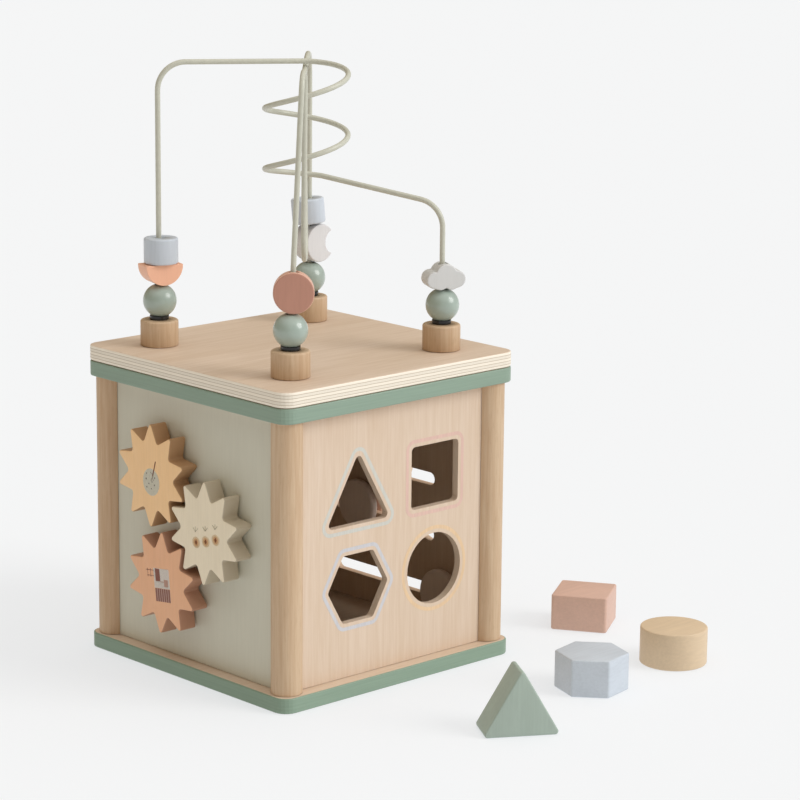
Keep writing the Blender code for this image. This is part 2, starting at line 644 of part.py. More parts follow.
def spiral_route():
    """Left leg, a run to the spiral, two descending turns, a run to the right leg, and the right leg.

    Angles run clockwise seen from above, from the spiral's back: 90 degrees is its right side.
    """
    # Each run is a tangent from a leg to the spiral's circle.
    enter = -math.degrees(math.asin(SPIRAL_R / (DIAGONAL + SPIRAL_OFFSET)))
    last = 720 + math.degrees(math.asin(SPIRAL_R / (DIAGONAL - SPIRAL_OFFSET)))

    slope = SPIRAL_PITCH / 360
    middle = SPIRAL_RIGHT_Z + 90 * slope - SPIRAL_LEAN

    def level(angle):
        """Height on the spiral; its first and last parts ease into level runs."""
        if angle < 90:
            ease = (angle - enter) ** 2 / (2 * (90 - enter))
            return SPIRAL_RIGHT_Z + slope * (90 - enter) / 2 - slope * ease
        if angle > 630:
            low = middle - 630 * slope - SPIRAL_LEAN
            run = angle - 630
            return low - slope * (run - run**2 / (2.8 * (last - 630)))
        return middle - slope * angle + SPIRAL_LEAN * math.sin(math.radians(angle))

    turns = []
    steps = 66
    for i in range(steps + 1):
        angle = enter + (last - enter) * i / steps
        a = math.radians(angle)
        back = SPIRAL_R * math.cos(a)
        right = SPIRAL_OFFSET + SPIRAL_R * math.sin(a)
        turns.append(on_diagonals(back, right, level(angle)))
    left = filleted(
        [on_diagonals(0, -DIAGONAL, WIRE_END_Z), on_diagonals(0, -DIAGONAL, LEFT_LEG_TOP_Z), turns[0]],
        [LEG_BEND_R],
    )
    right = filleted(
        [turns[-1], on_diagonals(0, DIAGONAL, RIGHT_LEG_TOP_Z), on_diagonals(0, DIAGONAL, WIRE_END_Z)],
        [LEG_BEND_R],
    )
    return spaced(left[:-1] + turns + right[1:], WIRE_STEP)


def wave_route():
    """Front leg, a hump, a deep dip, a wide hump under the spiral's top run, and the back leg."""
    corners = [on_diagonals(-DIAGONAL, 0, WIRE_END_Z), on_diagonals(-DIAGONAL, 0, WAVE_FOOT_Z)]
    corners += [on_diagonals(back, right, LID_TOP + height) for back, right, height, _ in WAVE_CORNERS]
    corners.append(on_diagonals(DIAGONAL, 0, WIRE_END_Z))
    radii = [WAVE_FOOT_R] + [corner[3] for corner in WAVE_CORNERS]
    return spaced(filleted(corners, radii), WIRE_STEP)


# ---------------------------------------------------------------- beads
def ball_profile():
    """A ball with a bore, as a closed profile."""
    angle = math.degrees(math.asin(BALL_FLAT / BALL_R))
    return arc((0, 0), BALL_R, -angle, angle, 11)


def barrel_profile():
    half = BARREL_H / 2
    edge = BARREL_EDGE
    profile = [(BEAD_BORE_R, -half)]
    profile += arc((BARREL_R - edge, edge - half), edge, -90, 0, 3)
    profile += arc((BARREL_R - edge, half - edge), edge, 0, 90, 3)
    return profile + [(BEAD_BORE_R, half)]


def cloud_outline():
    """Boundary of three overlapping puffs on a low cushion, as the farthest exit along each ray."""
    points = []
    for i in range(48):
        a = 2 * math.pi * i / 48
        reach = 0
        for x, z, r in CLOUD_PUFFS:
            along = x * math.cos(a) + z * math.sin(a)
            inside = along**2 - x**2 - z**2 + r**2
            if inside > 0:
                reach = max(reach, along + math.sqrt(inside))
        points.append((reach * math.cos(a), reach * math.sin(a)))
    return points


def crescent_outline():
    """A disc with a round bite out of its +X side."""
    # The bite meets the rim where both circles have the same x.
    x = (CRESCENT_R**2 - BITE_R**2 + BITE_OFFSET**2) / (2 * BITE_OFFSET)
    y = math.sqrt(CRESCENT_R**2 - x**2)
    rim = math.degrees(math.atan2(y, x))
    bite = math.degrees(math.atan2(y, x - BITE_OFFSET))
    outer = arc((0, 0), CRESCENT_R, rim, 360 - rim, 30)
    inner = arc((BITE_OFFSET, 0), BITE_R, 360 - bite, bite, 14)
    return outer + inner[1:-1]


def moon_outline():
    """A half disc, flat side up, a little deeper than its radius."""
    top = MOON_H - MOON_R
    return arc((0, 0), MOON_R, 180, 360, 24) + rounded(
        [(-MOON_R, 0), (MOON_R, 0), (MOON_R, top), (-MOON_R, top)], GAP, 1
    )[4:8]


def flat_bead(name, outline, centre, normal, material, bore=0.0, lean=Matrix.Identity(4)):
    """A bead cut from board: its outline faces `normal`, and a bore runs up through it."""
    place = Matrix.Translation(centre) @ lean @ facing(normal, (0, 0, 0))
    bead = add_object(name, prism(outline, -FLAT_BEAD_T / 2, FLAT_BEAD_T / 2), material)
    bead.matrix_world = place
    round_edges(bead, FLAT_BEAD_EDGE, 2, 40)
    drill = cylinder(BEAD_BORE_R, -20 * MM, 20 * MM, 20, Matrix.Rotation(math.radians(90), 4, "X"))
    cutter = add_object(f"{name}_bore", drill)
    cutter.matrix_world = place @ Matrix.Translation((bore, 0, 0))
    cut(bead, cutter)


def turned_bead(name, profile, centre, material, lean=Matrix.Identity(4), steps=26):
    bead = add_object(name, turned(profile, steps), material)
    bead.matrix_world = Matrix.Translation(centre) @ lean


def front_leg():
    """Where the front leg starts to lean, and the direction in which it leans."""
    foot = on_diagonals(-DIAGONAL, 0, WAVE_FOOT_Z)
    back, right, height, _ = WAVE_CORNERS[0]
    return foot, (on_diagonals(back, right, LID_TOP + height) - foot).normalized()


def build_beads(woods):
    """Ten beads in four stacks. A bore is wider than the wire, so beads sit a little off centre."""
    def above(base, height, right=0.0):
        """A point over a peg; `right` shifts it towards the lid's right corner."""
        return base + on_diagonals(0, right, height)

    left = on_diagonals(0, -DIAGONAL, 0)
    turned_bead("ball_left", ball_profile(), above(left, BALL_Z, 0.4 * MM), woods["sage"])
    moon_z = SECOND_BEAD_LOW + MOON_R
    flat_bead("half_moon", moon_outline(), above(left, moon_z, 1 * MM), (-0.256, -0.965, 0), woods["coral"])
    barrel_z = SECOND_BEAD_LOW + MOON_H + GAP + BARREL_H / 2
    turned_bead("barrel_left", barrel_profile(), above(left, barrel_z, 1.4 * MM), woods["blue"])

    foot, along = front_leg()
    # The bore's play lets the disc lean half as far as its leg.
    half = Vector((0, 0, 1)).slerp(along, 0.5)
    lean = Vector((0, 0, 1)).rotation_difference(half).to_matrix().to_4x4()
    turned_bead("ball_front", ball_profile(), foot + Vector((0, 0, BALL_Z - WAVE_FOOT_Z)), woods["sage"])
    disc_centre = above(foot + along * (SECOND_BEAD_LOW + DISC_R - WAVE_FOOT_Z), 0, DISC_SHIFT)
    flat_bead("disc_bead", arc((0, 0), DISC_R, 0, 360, 40)[:-1], disc_centre, (-0.66, -0.75, 0),
              woods["coral"], 0.0, lean)

    right = on_diagonals(0, DIAGONAL, 0)
    cloud = cloud_outline()
    turned_bead("ball_right", ball_profile(), above(right, BALL_Z, 0.4 * MM), woods["sage"])
    cloud_z = SECOND_BEAD_LOW - min(z for _, z in cloud)
    flat_bead("cloud_bead", cloud, above(right, cloud_z, 0.8 * MM), (-0.451, -0.891, 0), woods["white"])

    back = on_diagonals(DIAGONAL, 0, 0)
    turned_bead("ball_back", ball_profile(), above(back, BALL_Z), woods["sage"])
    crescent_z = SECOND_BEAD_LOW + CRESCENT_R
    flat_bead("crescent_bead", crescent_outline(), back + Vector((CRESCENT_SHIFT, 0, crescent_z)), (0.06, -1, 0),
              woods["cream"], CRESCENT_BORE)
    tilt = Matrix.Rotation(math.radians(-BARREL_TILT), 4, on_diagonals(1, 0, 0))
    barrel_z = SECOND_BEAD_LOW + 2 * CRESCENT_R + BARREL_RISE + BARREL_H / 2
    turned_bead("barrel_back", barrel_profile(), above(back, barrel_z, -0.8 * MM), woods["blue"], tilt)


def main():
    clear_scene()
    woods = {
        "beech": finish("beech", "#cfa57c", 0.6),
        "birch": finish("birch veneer", "#e2c9a8", 0.6),
        "plywood": finish("birch plywood", "#dcc29c", 0.6),
        "green": finish("green paint", "#7ba58d", 0.55),
        "grey": finish("grey paint", "#b9b09b", 0.6),
        "yellow": finish("yellow paint", "#e0b97c", 0.55),
        "cream": finish("cream paint", "#e0d3b8", 0.55),
        "coral": finish("coral paint", "#c98f76", 0.55),
        "blue": finish("blue paint", "#c3cbd3", 0.5),
        "sage": finish("sage gloss paint", "#a9c2b4", 0.25),
        "white": finish("white paint", "#dedbd5", 0.5),
        "rubber": finish("black rubber", "#1b1a19", 0.5),
        "enamel": finish("cream wire coating", "#e6e2d2", 0.35),
        "steel": finish("zinc plated steel", "#b8b8b8", 0.35, 1.0),
    }
    panels = build_box(woods)
    build_sorter(panels["sorter_panel"], woods)
    build_gears(panels["gear_panel"], woods)
    build_tracks(panels["track_panel"], woods)
    build_lid(woods)
    add_wire("spiral_wire", spiral_route(), woods["enamel"])
    add_wire("wave_wire", wave_route(), woods["enamel"])
    build_beads(woods)


main()
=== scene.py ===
"""Looks of a wooden activity cube with a shape sorter, gears, sliding tracks and a bead maze.

Laid out as an add-on and run as a script: main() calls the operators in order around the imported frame.
"""

import math

import bpy
import numpy as np
from bpy.props import FloatProperty, FloatVectorProperty, PointerProperty
from bpy.types import Operator, Panel, PropertyGroup
from mathutils import Matrix, Vector


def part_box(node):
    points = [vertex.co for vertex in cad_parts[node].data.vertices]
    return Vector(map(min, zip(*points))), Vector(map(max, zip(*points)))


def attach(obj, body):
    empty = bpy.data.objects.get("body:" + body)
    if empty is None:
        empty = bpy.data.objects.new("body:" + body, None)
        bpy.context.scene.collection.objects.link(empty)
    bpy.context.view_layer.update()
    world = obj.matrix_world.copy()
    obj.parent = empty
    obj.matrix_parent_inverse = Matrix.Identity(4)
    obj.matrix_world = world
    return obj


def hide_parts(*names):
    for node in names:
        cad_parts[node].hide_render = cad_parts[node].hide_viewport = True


bl_info = {
    "name": "Activity Cube",
    "version": (1, 0, 0),
    "blender": (4, 5, 0),
    "location": "3D View > Sidebar > Activity Cube",
    "description": "Builds the finishes and fine shapes of a wooden activity cube around its frame",
    "category": "Object",
}

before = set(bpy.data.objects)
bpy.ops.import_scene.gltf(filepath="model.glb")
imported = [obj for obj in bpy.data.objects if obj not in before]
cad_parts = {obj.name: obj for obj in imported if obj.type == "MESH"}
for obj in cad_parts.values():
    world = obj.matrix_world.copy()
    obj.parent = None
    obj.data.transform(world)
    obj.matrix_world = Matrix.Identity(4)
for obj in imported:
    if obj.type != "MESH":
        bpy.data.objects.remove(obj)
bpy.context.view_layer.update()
MM = 0.001


# ---------------------------------------------------------------- colours and properties
def to_linear(code):
    """sRGB hex to linear: c / 12.92 below 0.04045, else ((c + 0.055) / 1.055) to the power 2.4."""
    srgb = np.array([int(code[i : i + 2], 16) for i in (1, 3, 5)]) / 255
    return tuple(np.where(srgb <= 0.04045, srgb / 12.92, ((srgb + 0.055) / 1.055) ** 2.4))


def colour(name, about, code):
    """A colour property with a hex default."""
    return FloatVectorProperty(
        name=name, description=about, subtype="COLOR", size=3, min=0, max=1, default=to_linear(code)
    )


def length(name, about, value):
    """A length property, in metres."""
    return FloatProperty(name=name, description=about, unit="LENGTH", min=0, default=value, precision=5)


class CubeWoods(PropertyGroup):
    """Colours of the bare woods."""

    beech_pale: colour("Beech, pale", "Early wood of the turned beech", "#d1b99b")
    beech_dark: colour("Beech, dark", "Late wood and flecks of the turned beech", "#b99572")
    disc: colour("Slider disc", "Sanded discs behind the tracks", "#f0dccc")
    birch_pale: colour("Birch, pale", "Pale tone of the birch veneer", "#dcc9b6")
    birch_dark: colour("Birch, dark", "Dark tone of the birch veneer's grain", "#cfb599")
    ply: colour("Ply edge", "Plies seen at the plywood's edge", "#efe6d6")
    glue_line: colour("Glue line", "The plywood edge's dark lines", "#a8957a")


class CubeFinishes(PropertyGroup):
    """Colours of the stains, paints and coatings."""

    green: colour("Green base", "Paint of the base's edges", "#859b88")
    frame_green: colour("Green frame", "Paint of the top frame's edges", "#8a9f8e")
    grey: colour("Grey panel", "Stain of the gear panel", "#d0cebe")
    yellow: colour("Yellow", "Stain of the yellow pieces", "#d8c1a2")
    gear_yellow: colour("Yellow gear", "Stain of the yellow gear", "#f4cb98")
    cream: colour("Cream", "Stain of the cream pieces", "#ede0c6")
    coral: colour("Coral", "Stain of the coral pieces", "#d4b1a0")
    gear_coral: colour("Coral gear", "Stain of the coral gear", "#ebb68f")
    blue: colour("Blue", "Stain of the blue pieces", "#c6ced7")
    sage: colour("Sage", "Stain of the sage pieces", "#a3b2a7")
    ball: colour("Ball green", "Gloss lacquer of the balls", "#a0afa5")
    white: colour("White", "Paint of the cloud", "#d3d4d3")
    ivory: colour("Ivory", "Stain of the crescent", "#dad9d9")
    wire: colour("Wire", "Powder coat of the wires", "#c3c3b4")
    rubber: colour("Rubber", "The collars' black rubber", "#0f0e0e")
    steel: colour("Zinc", "Plating of the screws", "#b9bcbf")


class CubeSizes(PropertyGroup):
    """Sizes of the fine shapes."""

    wire_radius: length("Wire radius", "Radius of both wires", 1.75 * MM)
    gear_edge: length("Gear edge", "Rounding of the gears' edges", 0.9 * MM)
    block_edge: length("Block edge", "Rounding of the blocks' edges", 1.0 * MM)
    ring_gap: length("Ring gap", "From a sorter hole's edge to its printed ring", 2.4 * MM)
    ring_width: length("Ring width", "Width of a printed ring", 2.4 * MM)


# ---------------------------------------------------------------- material helpers
def feed(tree, node, inputs):
    """Sets a node's inputs, each by a value, or by the node or output that drives it."""
    for key, value in inputs.items():
        if isinstance(value, bpy.types.Node):
            value = next(output for output in value.outputs if output.enabled)
        if isinstance(value, bpy.types.NodeSocket):
            tree.links.new(value, node.inputs[key])
        else:
            node.inputs[key].default_value = value


def add(tree, kind, inputs=(), **settings):
    """A shader node with its settings; its inputs come by name or number, or in order."""
    node = tree.nodes.new("ShaderNode" + kind)
    for name, value in settings.items():
        setattr(node, name, value)
    feed(tree, node, inputs if isinstance(inputs, dict) else dict(enumerate(inputs)))
    return node


def new_material(name):
    """A material, its node tree and its Principled shader."""
    material = bpy.data.materials.new(name)
    material.use_nodes = True
    tree = material.node_tree
    return material, tree, tree.nodes["Principled BSDF"]


def rgba(rgb, factor=1.0):
    """An opaque colour scaled by a factor, with each primary kept to 1."""
    return (*(min(1.0, c * factor) for c in rgb), 1.0)


def field(tree, across_mm, along_mm, along, detail=2.0, roughness=0.5, distortion=0.0, turn=(0.0, 0.0, 0.0)):
    """Noise whose features are across_mm wide, and along_mm long on the axis `along` after the turn."""
    sizes = [1000 / (along_mm if axis == along else across_mm) for axis in "XYZ"]
    place = add(tree, "TexCoord").outputs["Object"]
    place = add(tree, "Mapping", {"Vector": place, "Scale": sizes, "Rotation": turn})
    inputs = {"Vector": place, "Scale": 1.0, "Detail": detail, "Roughness": roughness, "Distortion": distortion}
    return add(tree, "TexNoise", inputs)


def grain_colour(tree, pale, dark, along, turn=(0.0, 0.0, 0.0), flecks=0.0):
    """Wood seen at three scales: broad tone, plain-sawn lines and, on beech, short dark flecks.

    The lines are sin(k * noise) of a field stretched along the grain, so they run as long contours.
    """
    # Boards vary over about 20 mm across and 300 mm along; lines are 2 to 4 mm apart; pores are 0.5 mm.
    broad = field(tree, 22, 320, along, 3.0, 0.5, 0.4, turn=turn)
    lines = add(tree, "Math", (add(tree, "Math", (broad, 62.0), operation="MULTIPLY"),), operation="SINE")
    pores = field(tree, 0.9, 16, along, 3.0, 0.6, turn=turn)
    fine = field(tree, 1.7, 45, along, 4.0, 0.6, turn=turn)
    total = add(tree, "Math", (lines, 0.06, 0.42), operation="MULTIPLY_ADD")
    for part, weight in ((fine, 0.85), (pores, 0.35), (broad, 0.6)):
        centred = add(tree, "Math", (part, 0.5), operation="SUBTRACT")
        total = add(tree, "Math", (centred, weight, total), operation="MULTIPLY_ADD")
    result = add(tree, "ValToRGB", {"Fac": total})
    result.color_ramp.elements.new(0.5)
    middle_tone = [(a + b) / 2 for a, b in zip(pale, dark)]
    stops = ((0.08, rgba(pale, 1.03)), (0.5, rgba(middle_tone)), (0.95, rgba(dark)))
    for element, (position, value) in zip(result.color_ramp.elements, stops):
        element.position, element.color = position, value
    if flecks:
        # Beech rays: dashes 0.6 mm wide and 5 mm long.
        dashes = field(tree, 0.8, 7, along, 1.0, 0.4, turn=turn)
        mask = add(tree, "MapRange", (dashes, 0.62, 0.72, 0.0, flecks), interpolation_type="SMOOTHSTEP")
        result = add(tree, "Mix", {0: mask, 6: result, 7: rgba(dark, 0.72)}, data_type="RGBA")
    return result, pores


def wood(name, pale, dark, along, roughness=0.55, turn=(0.0, 0.0, 0.0), flecks=0.0):
    """Sanded wood under a thin matt lacquer: the grain shows, pores catch a little, the sheen is soft."""
    material, tree, shader = new_material(name)
    tone, pores = grain_colour(tree, pale, dark, along, turn, flecks)
    bump = add(tree, "Bump", {"Strength": 0.25, "Distance": 0.08 * MM, "Height": pores})
    sheen = add(tree, "MapRange", (pores, 0.3, 0.8, roughness - 0.07, roughness + 0.07))
    feed(tree, shader, {"Base Color": tone, "Normal": bump, "Roughness": sheen, "IOR": 1.5, "Specular IOR Level": 0.35})
    return material


def stained(name, tint, along, roughness=0.5, grain=0.06, turn=(0.0, 0.0, 0.0), face=None, edge=(1.0, 1.0, 1.0)):
    """Water-based stain on fine-grained wood: an even chalky colour with a whisper of grain and pores.

    face is the direction of the piece's flat faces; its edges show end grain, which takes the stain
    differently, by the factors in edge. On the gears these factors also hold painted shade on the teeth's sides.
    """
    material, tree, shader = new_material(name)
    fine = field(tree, 1.6, 30, along, 4.0, 0.6, turn=turn)
    cloudy = field(tree, 14, 26, along, 2.0, 0.5, turn=turn)
    tone = add(tree, "Mix", {0: 0.4, 2: fine, 3: cloudy})
    blend = add(tree, "MapRange", (tone, 0.32, 0.68), interpolation_type="SMOOTHSTEP")
    colour_here = add(tree, "Mix", {0: blend, 6: rgba(tint, 1 - grain), 7: rgba(tint, 1 + grain)}, data_type="RGBA")
    if face:
        normal = add(tree, "NewGeometry").outputs["Normal"]
        flat = add(tree, "VectorMath", {0: normal, 1: face}, operation="DOT_PRODUCT").outputs["Value"]
        flat = add(tree, "Math", (flat,), operation="ABSOLUTE")
        mask = add(tree, "MapRange", (flat, 0.65, 0.9, 1.0, 0.0), interpolation_type="SMOOTHSTEP")
        # On the gears this edge tone is partly painted shade on the teeth's sides.
        end = rgba([c * k for c, k in zip(tint, edge)])
        colour_here = add(tree, "Mix", {0: mask, 6: colour_here, 7: end}, data_type="RGBA")
    pores = field(tree, 0.7, 9, along, 2.0, 0.5, turn=turn)
    bump = add(tree, "Bump", {"Strength": 0.3, "Distance": 0.06 * MM, "Height": pores})
    sheen = add(tree, "MapRange", (pores, 0.3, 0.75, roughness - 0.06, roughness + 0.08))
    inputs = {"Base Color": colour_here, "Normal": bump, "Roughness": sheen, "IOR": 1.5, "Specular IOR Level": 0.4}
    feed(tree, shader, inputs)
    return material


def dress(node_names, material):
    """Gives CAD nodes a material."""
    for name in node_names:
        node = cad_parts[name]
        if not node.material_slots:
            node.data.materials.append(material)
        for slot in node.material_slots:
            slot.material = material


# ---------------------------------------------------------------- surface helpers
def mesh_from_grid(name, grid, material, close_u=False, close_v=False, cap_v=False, smooth=True):
    """A piece from a grid of points, u by v by 3: quads join neighbours; caps close the first and last v.

    Faces are the index arrays (i, j), (i + 1, j), (i + 1, j + 1), (i, j + 1), wrapped where a side closes.
    """
    nu, nv = grid.shape[:2]
    i = np.arange(nu if close_u else nu - 1)
    j = np.arange(nv if close_v else nv - 1)
    i, j = (a.ravel() for a in np.meshgrid(i, j, indexing="ij"))
    i2, j2 = (i + 1) % nu, (j + 1) % nv
    faces = np.stack([i * nv + j, i2 * nv + j, i2 * nv + j2, i * nv + j2], axis=1).tolist()
    if cap_v:
        around = np.arange(nu)
        faces += [(around[::-1] * nv).tolist(), (around * nv + nv - 1).tolist()]
    mesh = bpy.data.meshes.new(name)
    mesh.from_pydata(grid.reshape(-1, 3).tolist(), [], faces)
    mesh.validate()
    if smooth:
        mesh.shade_smooth()
    mesh.materials.append(material)
    piece = bpy.data.objects.new(name, mesh)
    bpy.context.scene.collection.objects.link(piece)
    return piece


def placed(grid, place):
    """A grid of points moved by a 4 by 4 matrix."""
    m = np.array(place)
    return grid @ m[:3, :3].T + m[:3, 3]


def revolve(name, profile, steps, place, material):
    """profile (radius r(v), height z(v)) turned about Z: (r cos u, r sin u, z), then placed. It closes."""
    profile = np.array(profile, float)
    u = np.linspace(0, 2 * np.pi, steps, endpoint=False)
    r, z = profile[:, 0], profile[:, 1]
    grid = np.stack(
        [np.outer(np.cos(u), r), np.outer(np.sin(u), r), np.outer(np.ones_like(u), z)], axis=-1
    )
    return mesh_from_grid(name, placed(grid, place), material, close_u=True, close_v=True)


def arc(centre, radius, start, end, count):
    """count points on a circle from one angle to another, in degrees."""
    a = np.radians(np.linspace(start, end, count))
    return np.stack([centre[0] + radius * np.cos(a), centre[1] + radius * np.sin(a)], axis=1)


def rounded(corners, radii, count=9):
    """A closed anticlockwise outline with each corner replaced by an arc tangent to both of its sides.

    With a and b the unit vectors to the neighbours and h half the angle between them, the arc's centre
    is corner + r / sin(h) along a + b, and its points slerp from one tangent point to the other.
    """
    here = np.array(corners, float)
    a = np.roll(here, 1, axis=0) - here
    b = np.roll(here, -1, axis=0) - here
    a /= np.linalg.norm(a, axis=1)[:, None]
    b /= np.linalg.norm(b, axis=1)[:, None]
    h = np.arccos(np.clip((a * b).sum(1), -1, 1)) / 2
    r = np.resize(np.array(radii, float), len(here))
    mid = a + b
    mid /= np.linalg.norm(mid, axis=1)[:, None]
    centre = here + mid * (r / np.sin(h))[:, None]
    first = here + a * (r / np.tan(h))[:, None] - centre
    last = here + b * (r / np.tan(h))[:, None] - centre
    total = np.pi - 2 * h
    t = np.linspace(0, 1, count)[None, :, None]
    w = total[:, None, None]
    points = (np.sin((1 - t) * w) * first[:, None] + np.sin(t * w) * last[:, None]) / np.sin(w)
    return (centre[:, None] + points).reshape(-1, 2)


def regular(sides, radius, turn=0.0):
    """A regular polygon: radius times (cos a, sin a), with a in equal steps from the turn in degrees."""
    a = np.radians(turn + 360 * np.arange(sides) / sides)
    return np.stack([radius * np.cos(a), radius * np.sin(a)], axis=1)


def inset(outline, distance):
    """The outline moved inwards by a distance, along the mean of each point's two side normals."""
    ahead = np.roll(outline, -1, axis=0) - outline
    ahead /= np.linalg.norm(ahead, axis=1)[:, None]
    normal = np.stack([-ahead[:, 1], ahead[:, 0]], axis=1)
    normal = normal + np.roll(normal, 1, axis=0)
    normal /= np.linalg.norm(normal, axis=1)[:, None]
    return outline + normal * distance


def board(name, outline, low, high, edge, place, material, steps=5):
    """A closed outline cut from board: its edge profile is a quarter circle at each face.

    At edge angle t the outline is inset by r (1 - cos t) and sits r (1 - sin t) short of the face.
    """
    t = np.linspace(0, np.pi / 2, steps)
    insets = np.concatenate([edge * (1 - np.cos(t[::-1])), edge * (1 - np.cos(t))])
    levels = np.concatenate([low + edge * (1 - np.sin(t[::-1])), high - edge * (1 - np.sin(t))])
    rings = np.stack([inset(outline, d) for d in insets], axis=1)
    heights = np.broadcast_to(levels[None, :, None], (*rings.shape[:2], 1))
    grid = placed(np.concatenate([rings, heights], axis=2), place)
    return mesh_from_grid(name, grid, material, close_u=True, cap_v=True)


def band(name, outline, width, low, high, place, material):
    """A flat printed band: the outline and its inset by -width, joined at two levels."""
    outer = inset(outline, -width)
    corners = [(outline, low), (outer, low), (outer, high), (outline, high)]
    grid = np.stack([np.column_stack([o, np.full(len(o), z)]) for o, z in corners], axis=1)
    return mesh_from_grid(name, placed(grid, place), material, close_u=True, close_v=True, smooth=False)


def tube(name, path, radius, material, sides=16):
    """A round wire: path(v) + r (cos(u + w(v)) n(v) + sin(u + w(v)) b(v)).

    n and b are square to the path, and w adds up how far they turn about it from each point to the
    next, so that the mesh's lines run along the wire without twist.
    """
    tangent = np.gradient(path, axis=0)
    tangent /= np.linalg.norm(tangent, axis=1)[:, None]
    steep = np.abs(tangent[:, 2:]) > 0.8
    n = np.cross(np.where(steep, (1.0, 0.0, 0.0), (0.0, 0.0, 1.0)), tangent)
    n /= np.linalg.norm(n, axis=1)[:, None]
    b = np.cross(tangent, n)
    carried = n[:-1] - tangent[1:] * (n[:-1] * tangent[1:]).sum(1)[:, None]
    turn = np.arctan2((carried * b[1:]).sum(1), (carried * n[1:]).sum(1))
    w = np.concatenate([[0], np.cumsum(turn)])
    u = np.linspace(0, 2 * np.pi, sides, endpoint=False)[:, None] + w
    grid = path + radius * (np.cos(u)[..., None] * n + np.sin(u)[..., None] * b)
    return mesh_from_grid(name, grid, material, close_u=True, cap_v=True)


def facing(direction, at):
    """A matrix that stands a drawing up: its Y becomes +Z and its Z becomes `direction`."""
    out = Vector(direction).normalized()
    across = Vector((0, 0, 1)).cross(out)
    return Matrix.Translation(at) @ Matrix((across, (0, 0, 1), out)).transposed().to_4x4()


def middle(node):
    """The centre of a CAD node's box."""
    low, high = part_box(node)
    return (low + high) / 2


def fit(piece, node, body):
    """Puts a finished piece in place of a CAD node."""
    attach(piece, body)
    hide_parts(node)


# ---------------------------------------------------------------- sizes shared with the frame
PEGS = {"front": (-1, -1), "right": (1, -1), "back": (1, 1), "left": (-1, 1)}
PEG_AT = 65 * MM
BORE_R = 3.5 * MM
BALL_R = 11 * MM
PEG_LOW, PEG_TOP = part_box("peg_front")[0].z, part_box("peg_front")[1].z
WIRE_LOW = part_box("spiral_wire")[0].z
DIAGONAL = PEG_AT * math.sqrt(2)


class CUBE_OT_stage(Operator):
    """Pale floor, soft lights and the camera"""

    bl_idname = "cube.stage"
    bl_label = "Stage"

    def execute(self, context):
        scene = context.scene
        mesh = bpy.data.meshes.new("floor")
        reach = 40.0
        corners = [(-reach, -reach, 0), (reach, -reach, 0), (reach, reach, 0), (-reach, reach, 0)]
        mesh.from_pydata(corners, [], [(0, 1, 2, 3)])
        # A matt translucent table lit from below: it glows evenly, so shadows on it stay faint.
        material, tree, shader = new_material("matt light table")
        shader.inputs["Base Color"].default_value = (0.32, 0.32, 0.32, 1)
        shader.inputs["Emission Color"].default_value = (0.944, 0.972, 1.0, 1)
        shader.inputs["Emission Strength"].default_value = 0.618
        shader.inputs["Roughness"].default_value = 0.95
        shader.inputs["Specular IOR Level"].default_value = 0.0
        mesh.materials.append(material)
        floor = bpy.data.objects.new("floor", mesh)
        floor.location.z = -0.2 * MM
        scene.collection.objects.link(floor)

        # A studio dome: warm and dim on the left, neutral and bright on the right, with a bright ceiling.
        world = bpy.data.worlds.new("studio")
        scene.world = world
        world.use_nodes = True
        tree = world.node_tree
        direction = add(tree, "TexCoord").outputs["Generated"]
        side = add(tree, "VectorMath", {0: direction, 1: (0.6, -0.8, 0.0)}, operation="DOT_PRODUCT")
        side = side.outputs["Value"]
        up = add(tree, "SeparateXYZ", {0: direction}).outputs["Z"]
        across = add(tree, "MapRange", (side, -0.5, 0.8), interpolation_type="SMOOTHSTEP")
        left, right, ceiling = (0.22, 0.14, 0.04, 1), (0.5, 0.5, 0.51, 1), (1.25, 1.22, 1.18, 1)
        walls = add(tree, "Mix", {0: across, 6: left, 7: right}, data_type="RGBA")
        overhead = add(tree, "MapRange", (up, 0.45, 0.95), interpolation_type="SMOOTHSTEP")
        dome = add(tree, "Mix", {0: overhead, 6: walls, 7: ceiling}, data_type="RGBA")
        background = tree.nodes["Background"]
        feed(tree, background, {"Color": dome, "Strength": 1.0})

        sun = bpy.data.lights.new("large_softbox", "SUN")
        sun.energy = 1.5
        sun.angle = math.radians(32)
        sun.color = (1.0, 0.99, 0.975)
        light = bpy.data.objects.new("large_softbox", sun)
        light.rotation_euler = Vector((-0.5, 0.8, -0.55)).to_track_quat("-Z", "Y").to_euler()
        scene.collection.objects.link(light)

        data = bpy.data.cameras.new("camera")
        data.sensor_width = 36
        data.lens = 134.73
        camera = bpy.data.objects.new("camera", data)
        forward = Vector((0.66801, 0.710785, -0.220335)).normalized()
        roll = Matrix.Rotation(math.radians(0.5526), 4, "Z")
        turn = forward.to_track_quat("-Z", "Y").to_matrix().to_4x4()
        camera.matrix_world = Matrix.Translation((-1.2616, -1.4379, 0.60227)) @ turn @ roll
        data.clip_end = 50
        scene.collection.objects.link(camera)
        scene.camera = camera
        scene.view_settings.view_transform = "Standard"
        return {"FINISHED"}


